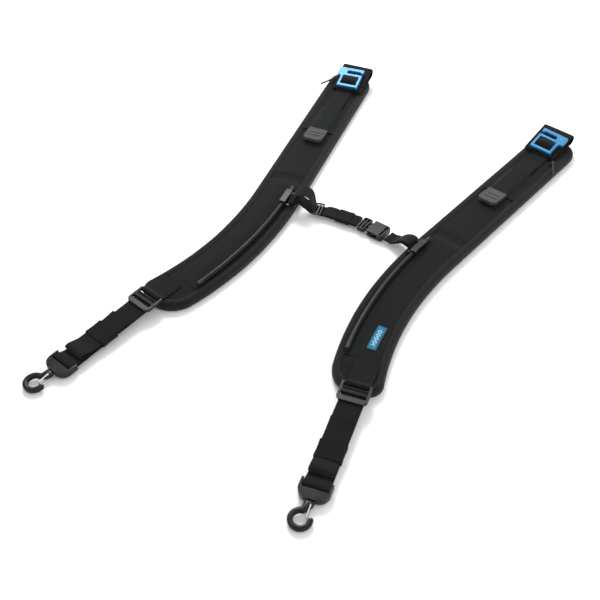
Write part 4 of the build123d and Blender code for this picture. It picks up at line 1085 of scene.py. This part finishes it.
# ------------------------------------------------------------------ CAD pieces that stay
def dress(node, material, bevel=0.5, segments=3):
    """Material and softened edges for a CAD node that keeps its shape."""
    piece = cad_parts[node]
    piece.data.materials.clear()
    piece.data.materials.append(material)
    if bevel:
        weld = piece.modifiers.new("weld", "WELD")
        weld.merge_threshold = 0.00001
        edge = piece.modifiers.new("soft_edges", "BEVEL")
        edge.width = bevel * MM
        edge.segments = segments
        edge.limit_method = "ANGLE"
        edge.angle_limit = radians(35)
        edge.harden_normals = True


def dress_frame():
    for side in SIDES:
        dress(f"{side}_g_hook", BLUE, 0.7)
        dress(f"{side}_grip", GREY, 0.5)
        dress(f"{side}_zip_slider", BLACK, 0.3)
        dress(f"{side}_zip_pull", BLACK, 0.25)
        dress(f"{side}_rail", PIPING, 0.0)
        dress(f"{side}_rail_clip", BLACK, 0.45)
        dress(f"{side}_ladder_lock", BLACK, 0.6)
        dress(f"{side}_swivel_body", BLACK, 1.2)
        dress(f"{side}_gate", STEEL, 0.0)
    for node in ("male_buckle", "female_buckle", "front_prong", "back_prong", "tri_glide"):
        dress(node, BLACK, 0.6)


# ------------------------------------------------------------------ stage
def make_stage():
    scene = bpy.context.scene
    floor_mesh = bpy.data.meshes.new("floor")
    corners = [(x * FLOOR_REACH, y * FLOOR_REACH, 0) for x, y in ((-1, -1), (1, -1), (1, 1), (-1, 1))]
    floor_mesh.from_pydata(corners, [], [(0, 1, 2, 3)])
    floor = bpy.data.objects.new("floor", floor_mesh)
    scene.collection.objects.link(floor)
    n = Nodes("pale_floor", Specular_IOR_Level=0.2)
    grain = n.noise(60.0, 2.0, n.node("ShaderNodeTexCoord").outputs["Object"])
    shade = n.blend(n.ramp(grain, 0.0, 1.0, 0.3, 0.7), (0.90, 0.90, 0.90, 1), (0.93, 0.93, 0.93, 1))
    floor_mesh.materials.append(n.finish(shade, 0.85, grain, 0.0001, 0.05))

    world = bpy.data.worlds.new("studio")
    scene.world = world
    world.use_nodes = True
    world.node_tree.nodes["Background"].inputs["Color"].default_value = (1.0, 1.0, 1.0, 1)
    world.node_tree.nodes["Background"].inputs["Strength"].default_value = 0.84

    lights = (
        ("key", (-1.1, 1.3, 2.0), 1.1, 56.0),
        ("fill", (1.6, -0.6, 1.7), 1.8, 12.0),
        ("back", (0.3, 2.4, 1.0), 1.6, 14.0),
    )
    for name, place, size, power in lights:
        data = bpy.data.lights.new(name, "AREA")
        data.shape = "DISK"
        data.size = size
        data.energy = power
        lamp = bpy.data.objects.new(name, data)
        lamp.location = place
        lamp.rotation_euler = (Vector((0, 0.02, 0)) - Vector(place)).to_track_quat("-Z", "Y").to_euler()
        scene.collection.objects.link(lamp)

    camera_data = bpy.data.cameras.new("camera")
    camera_data.lens = 62.16
    camera_data.sensor_width = 36.0
    camera = bpy.data.objects.new("camera", camera_data)
    camera.location = (0.4865, -0.893, 0.920)
    camera.rotation_euler = Vector((-0.365, 0.611, -0.702)).to_track_quat("-Z", "Y").to_euler()
    scene.collection.objects.link(camera)
    scene.camera = camera
    scene.view_settings.view_transform = "Standard"


for side in SIDES:
    face_height = make_pad(side)
    make_cross_band(side, face_height)
    make_lifter(side)
    make_top_loop(side)
    make_zip(side, face_height)
    make_rail_panel(side, face_height)
    make_anchor(side)
    make_lower(side)
    make_snap(side)
    if side == "right":
        make_label(face_height)
make_sternum()
dress_frame()
make_stage()
